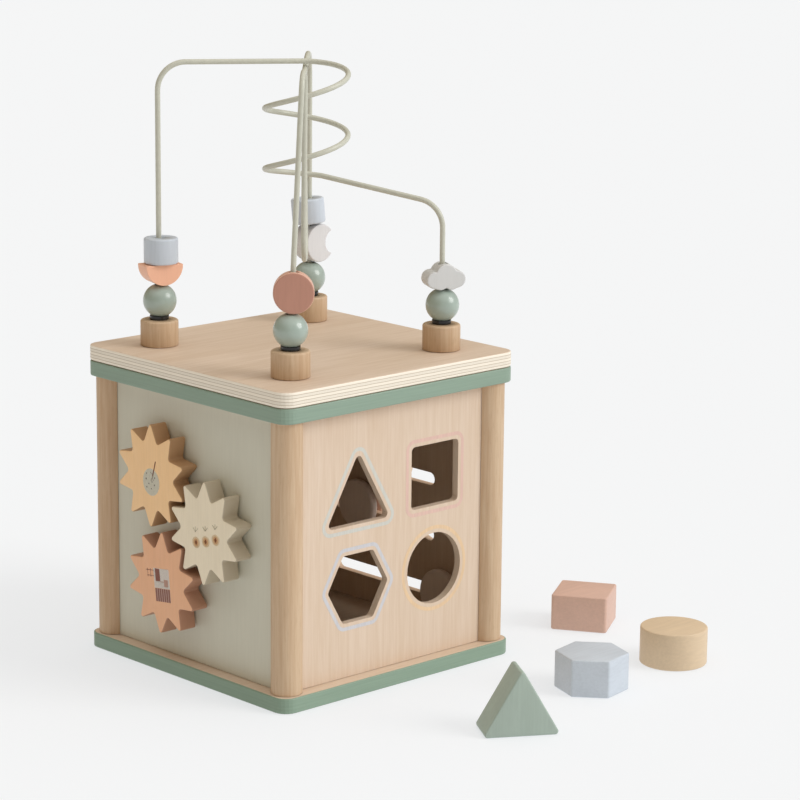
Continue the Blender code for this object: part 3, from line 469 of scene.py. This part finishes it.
class CUBE_OT_boards(Operator):
    """Finishes of the base, top frame, lid, panels, posts and pegs"""

    bl_idname = "cube.boards"
    bl_label = "Boards and posts"

    def execute(self, context):
        woods, finishes = context.scene.cube_woods, context.scene.cube_finishes
        birch_pale, birch_dark = woods.birch_pale, woods.birch_dark
        dress(["sorter_panel", "back_panel"], wood("birch veneer, upright grain", birch_pale, birch_dark, "Z"))
        # The track panel's veneer is tinted warmer: painted warm bounce light of the box's shaded inside.
        warm_bounce_tint = (1.0, 0.92, 0.84)
        track_pale, track_dark = ([c * k for c, k in zip(tone, warm_bounce_tint)] for tone in (birch_pale, birch_dark))
        dress(["track_panel"], wood("birch veneer, track side", track_pale, track_dark, "Z"))
        dress(["gear_panel"], stained("grey stained birch", finishes.grey, "Z", 0.6, 0.02))
        beech = wood("turned beech", woods.beech_pale, woods.beech_dark, "Z", 0.5, flecks=0.15)
        dress([f"post_{side}" for side in PEGS] + [f"gear_axle_{n}" for n in ("yellow", "cream", "coral")], beech)
        sanded = stained("sanded beech disc", woods.disc, "Z", 0.5, 0.04)
        dress([f"slider_disc_{n}" for n in ("top", "arc", "low")], sanded)
        dress(["base_board"], self.edge_painted("green painted base", woods, finishes.green))
        dress(["top_frame"], self.edge_painted("green painted frame", woods, finishes.frame_green))
        dress(["lid_board"], self.plywood(woods))
        dress(["lid_locator"], wood("birch locator", birch_pale, birch_dark, "X"))
        steel, tree, shader = new_material("zinc plated steel")
        shader.inputs["Base Color"].default_value = rgba(finishes.steel)
        shader.inputs["Metallic"].default_value = 1.0
        speck = field(tree, 0.4, 0.4, "X", 3.0)
        worn = add(tree, "MapRange", (speck, 0.3, 0.7, 0.25, 0.42), interpolation_type="SMOOTHSTEP")
        feed(tree, shader, {"Roughness": worn})
        dress([f"base_screw_{side}" for side in PEGS], steel)
        for side, (x, y) in PEGS.items():
            self.peg(side, x, y, woods)
        return {"FINISHED"}

    def edge_painted(self, name, woods, tint):
        """A board painted on its edges and bare on its faces: the mask is how far a face looks up or down."""
        material, tree, shader = new_material(name)
        bare, pores = grain_colour(tree, woods.birch_pale, woods.birch_dark, "X")
        # The board's own grain runs along its edge, and telegraphs through thin paint.
        fine = field(tree, 50, 1.1, "Z", 3.0)
        blend = add(tree, "MapRange", (fine, 0.25, 0.75), interpolation_type="SMOOTHSTEP")
        paint = add(tree, "Mix", {0: blend, 6: rgba(tint, 0.95), 7: rgba(tint, 1.05)}, data_type="RGBA")
        up = add(tree, "SeparateXYZ", {0: add(tree, "NewGeometry").outputs["Normal"]}).outputs["Z"]
        flat = add(tree, "Math", (up,), operation="ABSOLUTE")
        mask = add(tree, "MapRange", (flat, 0.93, 0.97), interpolation_type="SMOOTHSTEP")
        tone = add(tree, "Mix", {0: mask, 6: paint, 7: bare}, data_type="RGBA")
        bump = add(tree, "Bump", {"Strength": 0.2, "Distance": 0.06 * MM, "Height": pores})
        feed(tree, shader, {"Base Color": tone, "Normal": bump})
        shader.inputs["Roughness"].default_value = 0.5
        shader.inputs["Specular IOR Level"].default_value = 0.4
        return material

    def plywood(self, woods):
        """Birch plywood: long veneer grain on its faces, and on its edge five plies of 2 mm with glue lines.

        Cross plies show end grain, so they are a little darker than the plies that run with the edge.
        """
        material, tree, shader = new_material("birch plywood lid")
        low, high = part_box("lid_board")
        plies = 5
        dark = [c * 0.93 for c in woods.birch_dark]
        face, pores = grain_colour(tree, woods.birch_pale, dark, "X", (0, 0, 0.03))
        where = add(tree, "TexCoord").outputs["Object"]
        height = add(tree, "SeparateXYZ", {0: where}).outputs["Z"]
        # The glue lines wander by a fraction of a millimetre.
        ragged = add(tree, "Math", (field(tree, 9, 9, "X", 2.0), 0.5), operation="SUBTRACT")
        ragged = add(tree, "Math", (ragged, 0.35 * MM), operation="MULTIPLY")
        height = add(tree, "Math", (height, ragged), operation="ADD")
        # layer counts plies up from the underside; line is 0.5 at a glue line and 0 in a ply's middle.
        layer = add(tree, "Math", (height, low.z), operation="SUBTRACT")
        layer = add(tree, "Math", (layer, plies / (high.z - low.z)), operation="MULTIPLY")
        line = add(tree, "Math", (layer,), operation="FRACT")
        line = add(tree, "Math", (line, 0.5), operation="SUBTRACT")
        line = add(tree, "Math", (line,), operation="ABSOLUTE")
        line = add(tree, "MapRange", (line, 0.36, 0.46), interpolation_type="SMOOTHSTEP")
        outer = add(tree, "Math", (layer, plies / 2), operation="SUBTRACT")
        outer = add(tree, "Math", (outer,), operation="ABSOLUTE")
        outer = add(tree, "MapRange", (outer, 2.25, 2.4, 1.0, 0.0), interpolation_type="SMOOTHSTEP")
        odd = add(tree, "Math", (layer, 0.5), operation="MULTIPLY")
        odd = add(tree, "Math", (odd,), operation="FRACT")
        odd = add(tree, "Math", (odd, 0.5), operation="GREATER_THAN")
        odd = add(tree, "Math", (odd, 0.8), operation="MULTIPLY")
        end = add(tree, "MapRange", (field(tree, 0.7, 0.7, "X", 3.0, 0.6), 0.3, 0.7), interpolation_type="SMOOTHSTEP")
        cross = {0: end, 6: rgba(woods.ply, 0.86), 7: rgba(woods.ply, 0.97)}
        cross = add(tree, "Mix", cross, data_type="RGBA")
        ply = add(tree, "Mix", {0: odd, 6: rgba(woods.ply, 1.03), 7: cross}, data_type="RGBA")
        glue = add(tree, "Math", (line, outer), operation="MULTIPLY")
        glue = add(tree, "Math", (glue, 0.75), operation="MULTIPLY")
        edge = add(tree, "Mix", {0: glue, 6: ply, 7: rgba(woods.glue_line)}, data_type="RGBA")
        up = add(tree, "SeparateXYZ", {0: add(tree, "NewGeometry").outputs["Normal"]}).outputs["Z"]
        flat = add(tree, "Math", (up,), operation="ABSOLUTE")
        mask = add(tree, "MapRange", (flat, 0.55, 0.8), interpolation_type="SMOOTHSTEP")
        tone = add(tree, "Mix", {0: mask, 6: edge, 7: face}, data_type="RGBA")
        bump = add(tree, "Bump", {"Strength": 0.25, "Distance": 0.08 * MM, "Height": pores})
        feed(tree, shader, {"Base Color": tone, "Normal": bump})
        shader.inputs["Roughness"].default_value = 0.48
        shader.inputs["Specular IOR Level"].default_value = 0.4
        return material

    def peg(self, side, x, y, woods):
        """A turned peg: straight side, rounded rim and the bore that holds a wire."""
        material = wood(f"turned beech peg {side}", woods.beech_pale, woods.beech_dark, "Z", 0.5, flecks=0.15)
        radius, rim, bore, chamfer, axis = 12.4 * MM, 1.4 * MM, 2.4 * MM, 0.3 * MM, 0.01 * MM
        bore_floor = PEG_TOP - 12 * MM
        rows = [(bore, bore_floor), (axis, bore_floor), (axis, PEG_LOW)]
        rows += [(radius - chamfer, PEG_LOW), (radius, PEG_LOW + chamfer)]
        rows += arc((radius - rim, PEG_TOP - rim), rim, 0, 90, 7).tolist()
        rows += [(bore, PEG_TOP)]
        at = Matrix.Translation((x * PEG_AT, y * PEG_AT, 0))
        fit(revolve(f"turned_peg_{side}", rows, 64, at, material), f"peg_{side}", "lid")


# ---------------------------------------------------------------- sorter panel
HOLE_X = (-29.8 * MM, 36.7 * MM)
HOLE_Z = (68.2 * MM, 130.8 * MM)
HOLE_PLAY = 1.5 * MM


def square(half):
    return np.array([(-half, -half), (half, -half), (half, half), (-half, half)])


class CUBE_OT_rings(Operator):
    """Printed rings around the sorter holes"""

    bl_idname = "cube.rings"
    bl_label = "Printed rings"

    def execute(self, context):
        sizes = context.scene.cube_sizes
        # A hole's straight sides lie this far from its centre, and its ring follows them at a distance.
        gap = sizes.ring_gap + HOLE_PLAY
        rings = {
            "triangle": (regular(3, 28.5 * MM + 2 * gap, 90), HOLE_X[0], HOLE_Z[1] - 5.7 * MM, "#cac9c1"),
            "square": (square(19.25 * MM + gap), HOLE_X[1], HOLE_Z[1], "#dab8aa"),
            "hexagon": (regular(6, 24 * MM + gap / math.cos(math.pi / 6)), HOLE_X[0], HOLE_Z[0], "#c8c7cb"),
        }
        face = -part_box("sorter_panel")[0].y
        for name, (corners, x, z, code) in rings.items():
            outline = rounded(corners, 4.5 * MM, 9)
            self.ring(name, outline, sizes.ring_width, face, x, z, code)
        circle = regular(96, 22.2 * MM + gap)
        self.ring("circle", circle, sizes.ring_width, face, HOLE_X[1], HOLE_Z[0], "#e0c29c")
        return {"FINISHED"}

    def ring(self, name, outline, width, face, x, z, code):
        """Screen print: a thin even ink film that lets a little of the veneer's grain through."""
        material, tree, shader = new_material(f"printed ink {name}")
        tint = to_linear(code)
        fine = add(tree, "MapRange", (field(tree, 1.4, 36, "Z", 3.0), 0.3, 0.7), interpolation_type="SMOOTHSTEP")
        tone = add(tree, "Mix", {0: fine, 6: rgba(tint, 0.95), 7: rgba(tint, 1.04)}, data_type="RGBA")
        feed(tree, shader, {"Base Color": tone})
        shader.inputs["Roughness"].default_value = 0.6
        place = facing((0, -1, 0), (x, 0, z))
        piece = band(f"ring_{name}", outline, width, face + 0.01 * MM, face + 0.06 * MM, place, material)
        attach(piece, "box")


# ---------------------------------------------------------------- gears
GEAR_SPACING = 60 * MM
GEAR_MIDDLE = (-26.9 * MM, 103.2 * MM)
GEAR_BEARINGS = {"yellow": 27.4, "coral": -43.8}
GEAR_PHASES = {"yellow": 18.0, "cream": 17.2, "coral": 16.4}


def gear_place(name):
    """Out of the panel is the drawing's Z, and towards -Y is its X."""
    y, z = GEAR_MIDDLE
    if name in GEAR_BEARINGS:
        bearing = math.radians(GEAR_BEARINGS[name])
        y, z = y + GEAR_SPACING * math.cos(bearing), z + GEAR_SPACING * math.sin(bearing)
    return Matrix.Translation((0, y, z)) @ Matrix(((0, 0, -1), (-1, 0, 0), (0, 1, 0))).to_4x4()


# How much of each primary the sawn teeth keep: painted shade on the teeth's sides, where less light reaches, on top of
# end grain taking up more stain than the face.
GEAR_SIDE_SHADE_AND_END_GRAIN = {"yellow": (0.5, 0.44, 0.42), "cream": (0.64, 0.63, 0.62), "coral": (0.58, 0.55, 0.6)}


class CUBE_OT_gears(Operator):
    """The three stained gears and their printed ornaments"""

    bl_idname = "cube.gears"
    bl_label = "Gears"

    def execute(self, context):
        finishes, sizes = context.scene.cube_finishes, context.scene.cube_sizes
        a = np.radians(36 * np.arange(10))
        b = a + math.radians(18)
        tip, root = 35.8 * MM, 22.4 * MM
        tips = np.stack([tip * np.cos(a), tip * np.sin(a)], axis=1)
        roots = np.stack([root * np.cos(b), root * np.sin(b)], axis=1)
        corners = np.stack([tips, roots], axis=1).reshape(-1, 2)
        outline = rounded(corners, [1.6 * MM, 2.0 * MM], 9)
        low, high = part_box("gear_cream")
        back, front = -high.x, -low.x
        tints = {"yellow": finishes.gear_yellow, "cream": finishes.cream, "coral": finishes.gear_coral}
        for name, tint in tints.items():
            # The darker tooth sides are painted shade, with some end grain's deeper stain.
            material = stained(
                f"{name} stained birch", tint, "Z", 0.5, 0.03, face=(1, 0, 0), edge=GEAR_SIDE_SHADE_AND_END_GRAIN[name]
            )
            turn = Matrix.Rotation(math.radians(GEAR_PHASES[name]), 4, "Z")
            place = gear_place(name) @ turn
            gear = board(f"stained_gear_{name}", outline, back, front, sizes.gear_edge, place, material)
            fit(gear, f"gear_{name}", f"gear_{name}")
        self.seed(gear_place("yellow"), front)
        self.dots(gear_place("cream"), front)
        self.house(gear_place("coral"), front)
        return {"FINISHED"}

    def print(self, name, body, outline, place, front, code, level=0, edge=0.0):
        """One flat of ink: a film 0.03 mm thick, stacked by level."""
        material = bpy.data.materials.get(f"ink {code[1:]}")
        if material is None:
            material, tree, shader = new_material(f"ink {code[1:]}")
            speckle = field(tree, 0.8, 0.8, "X", 2.0)
            speckle = add(tree, "MapRange", (speckle, 0.3, 0.7), interpolation_type="SMOOTHSTEP")
            tint = to_linear(code)
            tone = {0: speckle, 6: rgba(tint, 0.93), 7: rgba(tint, 1.05)}
            feed(tree, shader, {"Base Color": add(tree, "Mix", tone, data_type="RGBA")})
            shader.inputs["Roughness"].default_value = 0.6
        low = front + (0.01 + 0.04 * level) * MM
        film = board(name, outline, low, low + 0.03 * MM, edge, place, material, 2)
        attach(film, body)

    def seed(self, place, front):
        """A speckled oval under a slanting stem."""
        oval = regular(48, 1.0) * np.array([8.3, 8.9]) * MM + np.array([1.0, -3.9]) * MM
        self.print("print_oval", "gear_yellow", oval, place, front, "#dbd9ca")
        specks = [(-3.6, 1.2), (4.6, -0.6), (-4.0, -2.4), (1.9, -3.6)]
        specks += [(-1.3, -5.2), (4.4, -5.4), (1.2, -8.2), (-3.4, -7.8)]
        for i, (x, y) in enumerate(specks):
            speck = regular(12, (0.45 + 0.06 * (i % 3)) * MM) + np.array([x, y]) * MM
            self.print(f"print_speck_{i}", "gear_yellow", speck, place, front, "#7a716c", 1)
        stem, root = "#94604c", "#a5968a"
        lines = [(2.6, 0.2, 5.6, 10.4, 0.42, stem), (2.6, 0.2, 0.9, -3.0, 0.22, root)]
        lines += [(2.9, 1.4, 0.2, 2.6, 0.2, root), (2.3, -0.6, 3.8, -2.6, 0.2, root)]
        for i, (x0, y0, x1, y1, half, code) in enumerate(lines):
            self.print(f"print_stem_{i}", "gear_yellow", stroke(x0, y0, x1, y1, half), place, front, code, 2)

    def dots(self, place, front):
        """Three seeds in a rising row, each in a pale orange halo under a faint sprig."""
        for i, (x, y) in enumerate(((-7.2, -6.9), (2.3, -4.6), (12.0, -1.6))):
            halo = regular(32, 1.0) * np.array([3.9, 3.6]) * MM + np.array([x, y]) * MM
            self.print(f"print_halo_{i}", "gear_cream", halo, place, front, "#e9d2b0")
            inner = regular(32, 1.0) * np.array([2.4, 2.5]) * MM + np.array([x, y]) * MM
            self.print(f"print_flesh_{i}", "gear_cream", inner, place, front, "#dfb283", 1)
            core = regular(4, 1.0) * np.array([1.3, 1.9]) * MM + np.array([x, y]) * MM
            self.print(f"print_core_{i}", "gear_cream", rounded(core, 0.5 * MM, 5), place, front, "#8a5331", 2)
            for k, (dx, h) in enumerate(((-2.4, 2.2), (0.2, 3.4), (2.5, 2.4))):
                line = stroke(x - 0.6, y + 6.8, x - 0.6 + dx, y + 7.0 + h, 0.2)
                self.print(f"print_sprig_{i}_{k}", "gear_cream", line, place, front, "#c4bfa6", 1)

    def house(self, place, front):
        """A white block with a door and a window over a striped band, turned a little."""
        turn = np.array(Matrix.Rotation(math.radians(7), 2))

        def patch(name, x0, y0, x1, y1, code, level):
            """A rectangle of ink between two corners, in millimetres, turned with the block."""
            corners = np.array([(x0, y0), (x1, y0), (x1, y1), (x0, y1)]) - (1.5, -2.0)
            outline = (corners @ turn.T + (1.5, -0.6)) * MM
            self.print(name, "gear_coral", outline, place, front, code, level)

        patch("print_wall", -6.6, -4.8, 9.2, 8.2, "#f3ece6", 0)
        patch("print_door", -4.9, -0.2, -0.2, 8.0, "#9c6a5f", 1)
        patch("print_window", 3.6, -3.4, 7.6, 1.2, "#d3ab9c", 1)
        patch("print_sill", -0.2, -0.6, 3.4, -0.2, "#d3ab9c", 1)
        for i in range(7):
            patch(f"print_stripe_{i}", -6.0 + 2.2 * i, -13.6, -4.5 + 2.2 * i, -5.0, "#a5736b", 1)
        patch("print_field", -6.2, -13.4, 9.0, -5.0, "#dcc3b8", 0)
        half = 0.25
        bars = [(-14, 6.6, -6.6, 6.6), (-13, 3.0, -6.6, 3.0), (-12.6, 2.2, -12.6, 7.4), (-9.6, 2.2, -9.6, 7.4)]
        for i, (x0, y0, x1, y1) in enumerate(bars):
            patch(f"print_fence_{i}", x0 - half, y0 - half, x1 + half, y1 + half, "#b98777", 0)


def stroke(x0, y0, x1, y1, half):
    """A straight stroke with square ends, in millimetres, as an outline in metres."""
    start, end = np.array([x0, y0]), np.array([x1, y1])
    along = (end - start) / np.linalg.norm(end - start)
    side = np.array([along[1], -along[0]]) * half
    return np.array([start + side, end + side, end - side, start - side]) * MM


# ---------------------------------------------------------------- wires
def on_diagonals(back, right, z):
    """Distances towards the back peg and the right peg, as x, y, z."""
    back, right, z = np.broadcast_arrays(back, right, z)
    return np.stack([(back + right) / math.sqrt(2), (back - right) / math.sqrt(2), z], axis=-1)


def fillet(corners, radii, step=1.2 * MM):
    """A route through corners with each inner one replaced by an arc, sampled about a step apart."""
    points = [corners[0][None]]
    for before, here, after, radius in zip(corners, corners[1:], corners[2:], radii):
        a = (before - here) / np.linalg.norm(before - here)
        b = (after - here) / np.linalg.norm(after - here)
        h = np.arccos(np.clip(a @ b, -1, 1)) / 2
        mid = (a + b) / np.linalg.norm(a + b)
        centre = here + mid * radius / np.sin(h)
        first, last = here + a * radius / np.tan(h) - centre, here + b * radius / np.tan(h) - centre
        w = np.pi - 2 * h
        t = np.linspace(0, 1, max(4, int(w * radius / step)))[:, None]
        points.append(centre + (np.sin((1 - t) * w) * first + np.sin(t * w) * last) / np.sin(w))
    points.append(corners[-1][None])
    route = np.concatenate(points)
    return evenly(route, step)


def evenly(route, step):
    """The same route resampled at equal distances along its length."""
    along = np.concatenate([[0], np.cumsum(np.linalg.norm(np.diff(route, axis=0), axis=1))])
    wanted = np.linspace(0, along[-1], int(along[-1] / step))
    return np.stack([np.interp(wanted, along, route[:, k]) for k in range(3)], axis=1)


SPIRAL_R = 26.7 * MM
SPIRAL_OFFSET = 3.7 * MM
SPIRAL_LEAN = 1.35 * MM
SPIRAL_SLOPE = 39 * MM / 360
SPIRAL_RIGHT_Z = 383 * MM
WAVE_CORNERS = np.array(
    [(-72.4, 5.7, 391.5), (-47, 5.8, 391.5), (-41.2, 4.7, 268), (-12.5, 4.2, 268)]
    + [(13, 0.9, 379), (50, 1.2, 392), (91.9, 0, 385)]
) * MM
WAVE_RADII = np.array([60, 13.8, 13.8, 16, 16, 24, 60, 20]) * MM


def spiral_path():
    """Left leg, run, two turns clockwise from above, run, right leg.

    On the spiral back = R cos a and right = offset + R sin a; its height falls evenly with a, plus a
    small sine lean, and eases at both ends so that the runs leave it smoothly.
    """
    enter = -math.degrees(math.asin(SPIRAL_R / (DIAGONAL + SPIRAL_OFFSET)))
    last = 720 + math.degrees(math.asin(SPIRAL_R / (DIAGONAL - SPIRAL_OFFSET)))
    a = np.linspace(enter, last, 420)
    centre = SPIRAL_RIGHT_Z + 90 * SPIRAL_SLOPE - SPIRAL_LEAN
    z = centre - SPIRAL_SLOPE * a + SPIRAL_LEAN * np.sin(np.radians(a))
    ease = (a - enter) ** 2 / (2 * (90 - enter))
    z = np.where(a < 90, SPIRAL_RIGHT_Z + SPIRAL_SLOPE * ((90 - enter) / 2 - ease), z)
    run = a - 630
    low = centre - 630 * SPIRAL_SLOPE - SPIRAL_LEAN
    z = np.where(a > 630, low - SPIRAL_SLOPE * (run - run**2 / (2.8 * (last - 630))), z)
    turns = on_diagonals(SPIRAL_R * np.cos(np.radians(a)), SPIRAL_OFFSET + SPIRAL_R * np.sin(np.radians(a)), z)
    left = np.stack([on_diagonals(0, -DIAGONAL, WIRE_LOW), on_diagonals(0, -DIAGONAL, 389.8 * MM), turns[0]])
    right = np.stack([turns[-1], on_diagonals(0, DIAGONAL, 300.4 * MM), on_diagonals(0, DIAGONAL, WIRE_LOW)])
    bend = [18 * MM]
    return evenly(np.concatenate([fillet(left, bend)[:-1], turns, fillet(right, bend)[1:]]), 1.3 * MM)


def wave_path():
    """Front leg, hump, deep dip, wide hump under the spiral's top run, back leg."""
    corners = [on_diagonals(-DIAGONAL, 0, WIRE_LOW), on_diagonals(-DIAGONAL, 0, 236 * MM)]
    corners += list(on_diagonals(*WAVE_CORNERS.T))
    corners.append(on_diagonals(DIAGONAL, 0, WIRE_LOW))
    return fillet(np.array(corners), WAVE_RADII)


class CUBE_OT_wires(Operator):
    """The two coated wires of the bead maze"""

    bl_idname = "cube.wires"
    bl_label = "Wires"

    def execute(self, context):
        material, tree, shader = new_material("powder coated steel wire")
        tint = context.scene.cube_finishes.wire
        # Powder coat flows into a faint orange peel, here 3 mm across.
        peel = field(tree, 3, 3, "X", 1.0)
        blend = add(tree, "MapRange", (peel, 0.3, 0.7), interpolation_type="SMOOTHSTEP")
        tone = add(tree, "Mix", {0: blend, 6: rgba(tint, 0.97), 7: rgba(tint, 1.02)}, data_type="RGBA")
        bump = add(tree, "Bump", {"Strength": 0.05, "Distance": 0.02 * MM, "Height": peel})
        feed(tree, shader, {"Base Color": tone, "Normal": bump})
        shader.inputs["Roughness"].default_value = 0.36
        radius = context.scene.cube_sizes.wire_radius
        fit(tube("coated_spiral_wire", spiral_path(), radius, material), "spiral_wire", "lid")
        fit(tube("coated_wave_wire", wave_path(), radius, material), "wave_wire", "lid")
        return {"FINISHED"}


# ---------------------------------------------------------------- beads
class CUBE_OT_beads(Operator):
    """Balls, barrels, flat beads and the collars under them"""

    bl_idname = "cube.beads"
    bl_label = "Beads"

    def execute(self, context):
        finishes = context.scene.cube_finishes
        gloss = self.lacquer("gloss lacquered beech ball", finishes.ball)
        for side in PEGS:
            low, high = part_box(f"ball_{side}")
            # A ball's box is cut short by its bore at both ends, so its middle is still the ball's.
            at = Matrix.Translation((low + high) / 2)
            half = math.degrees(math.acos(BORE_R / BALL_R))
            ball = revolve(f"lacquered_ball_{side}", arc((0, 0), BALL_R, -half, half, 33), 48, at, gloss)
            fit(ball, f"ball_{side}", f"ball_{side}")
        satin = stained("blue stained beech", finishes.blue, "Z", 0.42, 0.04)
        for side, tilt in (("left", 0.0), ("back", -5.0)):
            self.barrel(side, tilt, satin)
        pale = [min(1.0, c * k) for c, k in zip(finishes.coral, (1.38, 1.16, 0.98))]
        dress(["half_moon"], stained("pale coral stained bead", pale, "Z", 0.45, 0.03))
        toward = (math.sqrt(0.5), math.sqrt(0.5), 0)
        deep = [c * k for c, k in zip(finishes.coral, (0.74, 0.56, 0.51))]
        disc = stained("coral stained disc", deep, "Z", 0.42, 0.04, face=toward, edge=(1.5, 1.75, 1.8))
        dress(["disc_bead"], disc)
        dress(["cloud_bead"], stained("white painted bead", finishes.white, "Z", 0.45, 0.02))
        dress(["crescent_bead"], stained("ivory stained bead", finishes.ivory, "Z", 0.5, 0.03))
        rubber, tree, shader = new_material("moulded black rubber")
        shader.inputs["Base Color"].default_value = rgba(finishes.rubber)
        sheen = field(tree, 0.5, 0.5, "X", 2.0)
        sheen = add(tree, "MapRange", (sheen, 0.3, 0.7, 0.16, 0.28), interpolation_type="SMOOTHSTEP")
        feed(tree, shader, {"Roughness": sheen})
        dress([f"collar_{side}" for side in PEGS], rubber)
        return {"FINISHED"}

    def lacquer(self, name, tint):
        """Dipped gloss lacquer over wood: a smooth wet-looking coat with a very faint ripple."""
        material, tree, shader = new_material(name)
        cloudy = field(tree, 6, 9, "Z", 2.0)
        blend = add(tree, "MapRange", (cloudy, 0.3, 0.7), interpolation_type="SMOOTHSTEP")
        tone = add(tree, "Mix", {0: blend, 6: rgba(tint, 0.97), 7: rgba(tint, 1.03)}, data_type="RGBA")
        bump = add(tree, "Bump", {"Strength": 0.08, "Distance": 0.1 * MM, "Height": cloudy})
        feed(tree, shader, {"Base Color": tone, "Coat Normal": bump})
        shader.inputs["Roughness"].default_value = 0.35
        shader.inputs["Coat Weight"].default_value = 0.6
        shader.inputs["Coat Roughness"].default_value = 0.08
        return material

    def barrel(self, side, tilt, material):
        """A turned cylinder with soft rims, a bore, and the tilt it rests at."""
        node = f"barrel_{side}"
        radius, height, rim = 11.2 * MM, 16.8 * MM, 1.2 * MM
        half = height / 2
        rows = [(BORE_R, -half)]
        rows += arc((radius - rim, rim - half), rim, -90, 0, 6).tolist()
        rows += arc((radius - rim, half - rim), rim, 0, 90, 6).tolist()
        rows += [(BORE_R, half)]
        lean = Matrix.Rotation(math.radians(tilt), 4, Vector((1, 1, 0)).normalized())
        at = Matrix.Translation(middle(node)) @ lean
        fit(revolve(f"stained_{node}", rows, 56, at, material), node, node)


# ---------------------------------------------------------------- blocks and sliders
class CUBE_OT_blocks(Operator):
    """The four loose blocks"""

    bl_idname = "cube.blocks"
    bl_label = "Loose blocks"

    def execute(self, context):
        finishes, edge = context.scene.cube_finishes, context.scene.cube_sizes.block_edge
        corner = 2.0 * MM
        shapes = {
            "square": (rounded(square(19.25 * MM), corner), "coral", "X", 32.7),
            "hexagon": (rounded(regular(6, 24 * MM), corner), "blue", "X", 11.0),
            "cylinder": (regular(96, 22.2 * MM), "yellow", "X", 0.0),
            "triangle": (rounded(regular(3, 28.5 * MM, 90), corner), "sage", "Z", -31.5),
        }
        for name, (outline, tint, grain, turn) in shapes.items():
            low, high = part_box(f"block_{name}")
            centre = (low + high) / 2
            angle = math.radians(turn)
            place = Matrix.Translation((centre.x, centre.y, low.z)) @ Matrix.Rotation(angle, 4, "Z")
            thick = high.z - low.z
            if name == "triangle":
                thick = 24.5 * MM
                place = place @ facing((0, -1, 0), (0, thick / 2, 28.5 * MM / 2))
            stain = getattr(finishes, tint)
            material = stained(f"{tint} stained block", stain, grain, 0.5, 0.05, (0, 0, -angle))
            node = f"block_{name}"
            block = board(f"stained_{node}", outline, 0, thick, edge, place, material)
            fit(block, node, node)
        return {"FINISHED"}


class CUBE_OT_sliders(Operator):
    """Knobs of the three track sliders"""

    bl_idname = "cube.sliders"
    bl_label = "Sliders"

    def execute(self, context):
        finishes = context.scene.cube_finishes
        for name, tint in (("top", "yellow"), ("arc", "coral"), ("low", "sage")):
            knob = stained(f"{tint} stained knob", getattr(finishes, tint), "Z", 0.5, 0.05)
            dress([f"slider_knob_{name}"], knob)
        return {"FINISHED"}


class CUBE_PT_panel(Panel):
    """Buttons for every group of pieces, and the colours and sizes they use"""

    bl_label = "Activity Cube"
    bl_idname = "CUBE_PT_panel"
    bl_space_type = "VIEW_3D"
    bl_region_type = "UI"
    bl_category = "Activity Cube"

    def draw(self, context):
        for operator in STEPS:
            self.layout.operator(operator.bl_idname)
        for group in ("cube_woods", "cube_finishes", "cube_sizes"):
            settings = getattr(context.scene, group)
            box = self.layout.box()
            for name in type(settings).__annotations__:
                box.prop(settings, name)


GROUPS = {"cube_woods": CubeWoods, "cube_finishes": CubeFinishes, "cube_sizes": CubeSizes}
STEPS = [CUBE_OT_stage, CUBE_OT_boards, CUBE_OT_rings, CUBE_OT_gears]
STEPS += [CUBE_OT_wires, CUBE_OT_beads, CUBE_OT_blocks, CUBE_OT_sliders]


def register():
    """Registers the settings, the operators and the panel."""
    for cls in [*GROUPS.values(), *STEPS, CUBE_PT_panel]:
        bpy.utils.register_class(cls)
    for name, group in GROUPS.items():
        setattr(bpy.types.Scene, name, PointerProperty(type=group))


def unregister():
    """Removes them again."""
    for name in GROUPS:
        delattr(bpy.types.Scene, name)
    for cls in reversed([*GROUPS.values(), *STEPS, CUBE_PT_panel]):
        bpy.utils.unregister_class(cls)


def main():
    """Runs every step in order."""
    register()
    for operator in STEPS:
        group, name = operator.bl_idname.split(".")
        getattr(getattr(bpy.ops, group), name)()


if __name__ == "__main__":
    main()
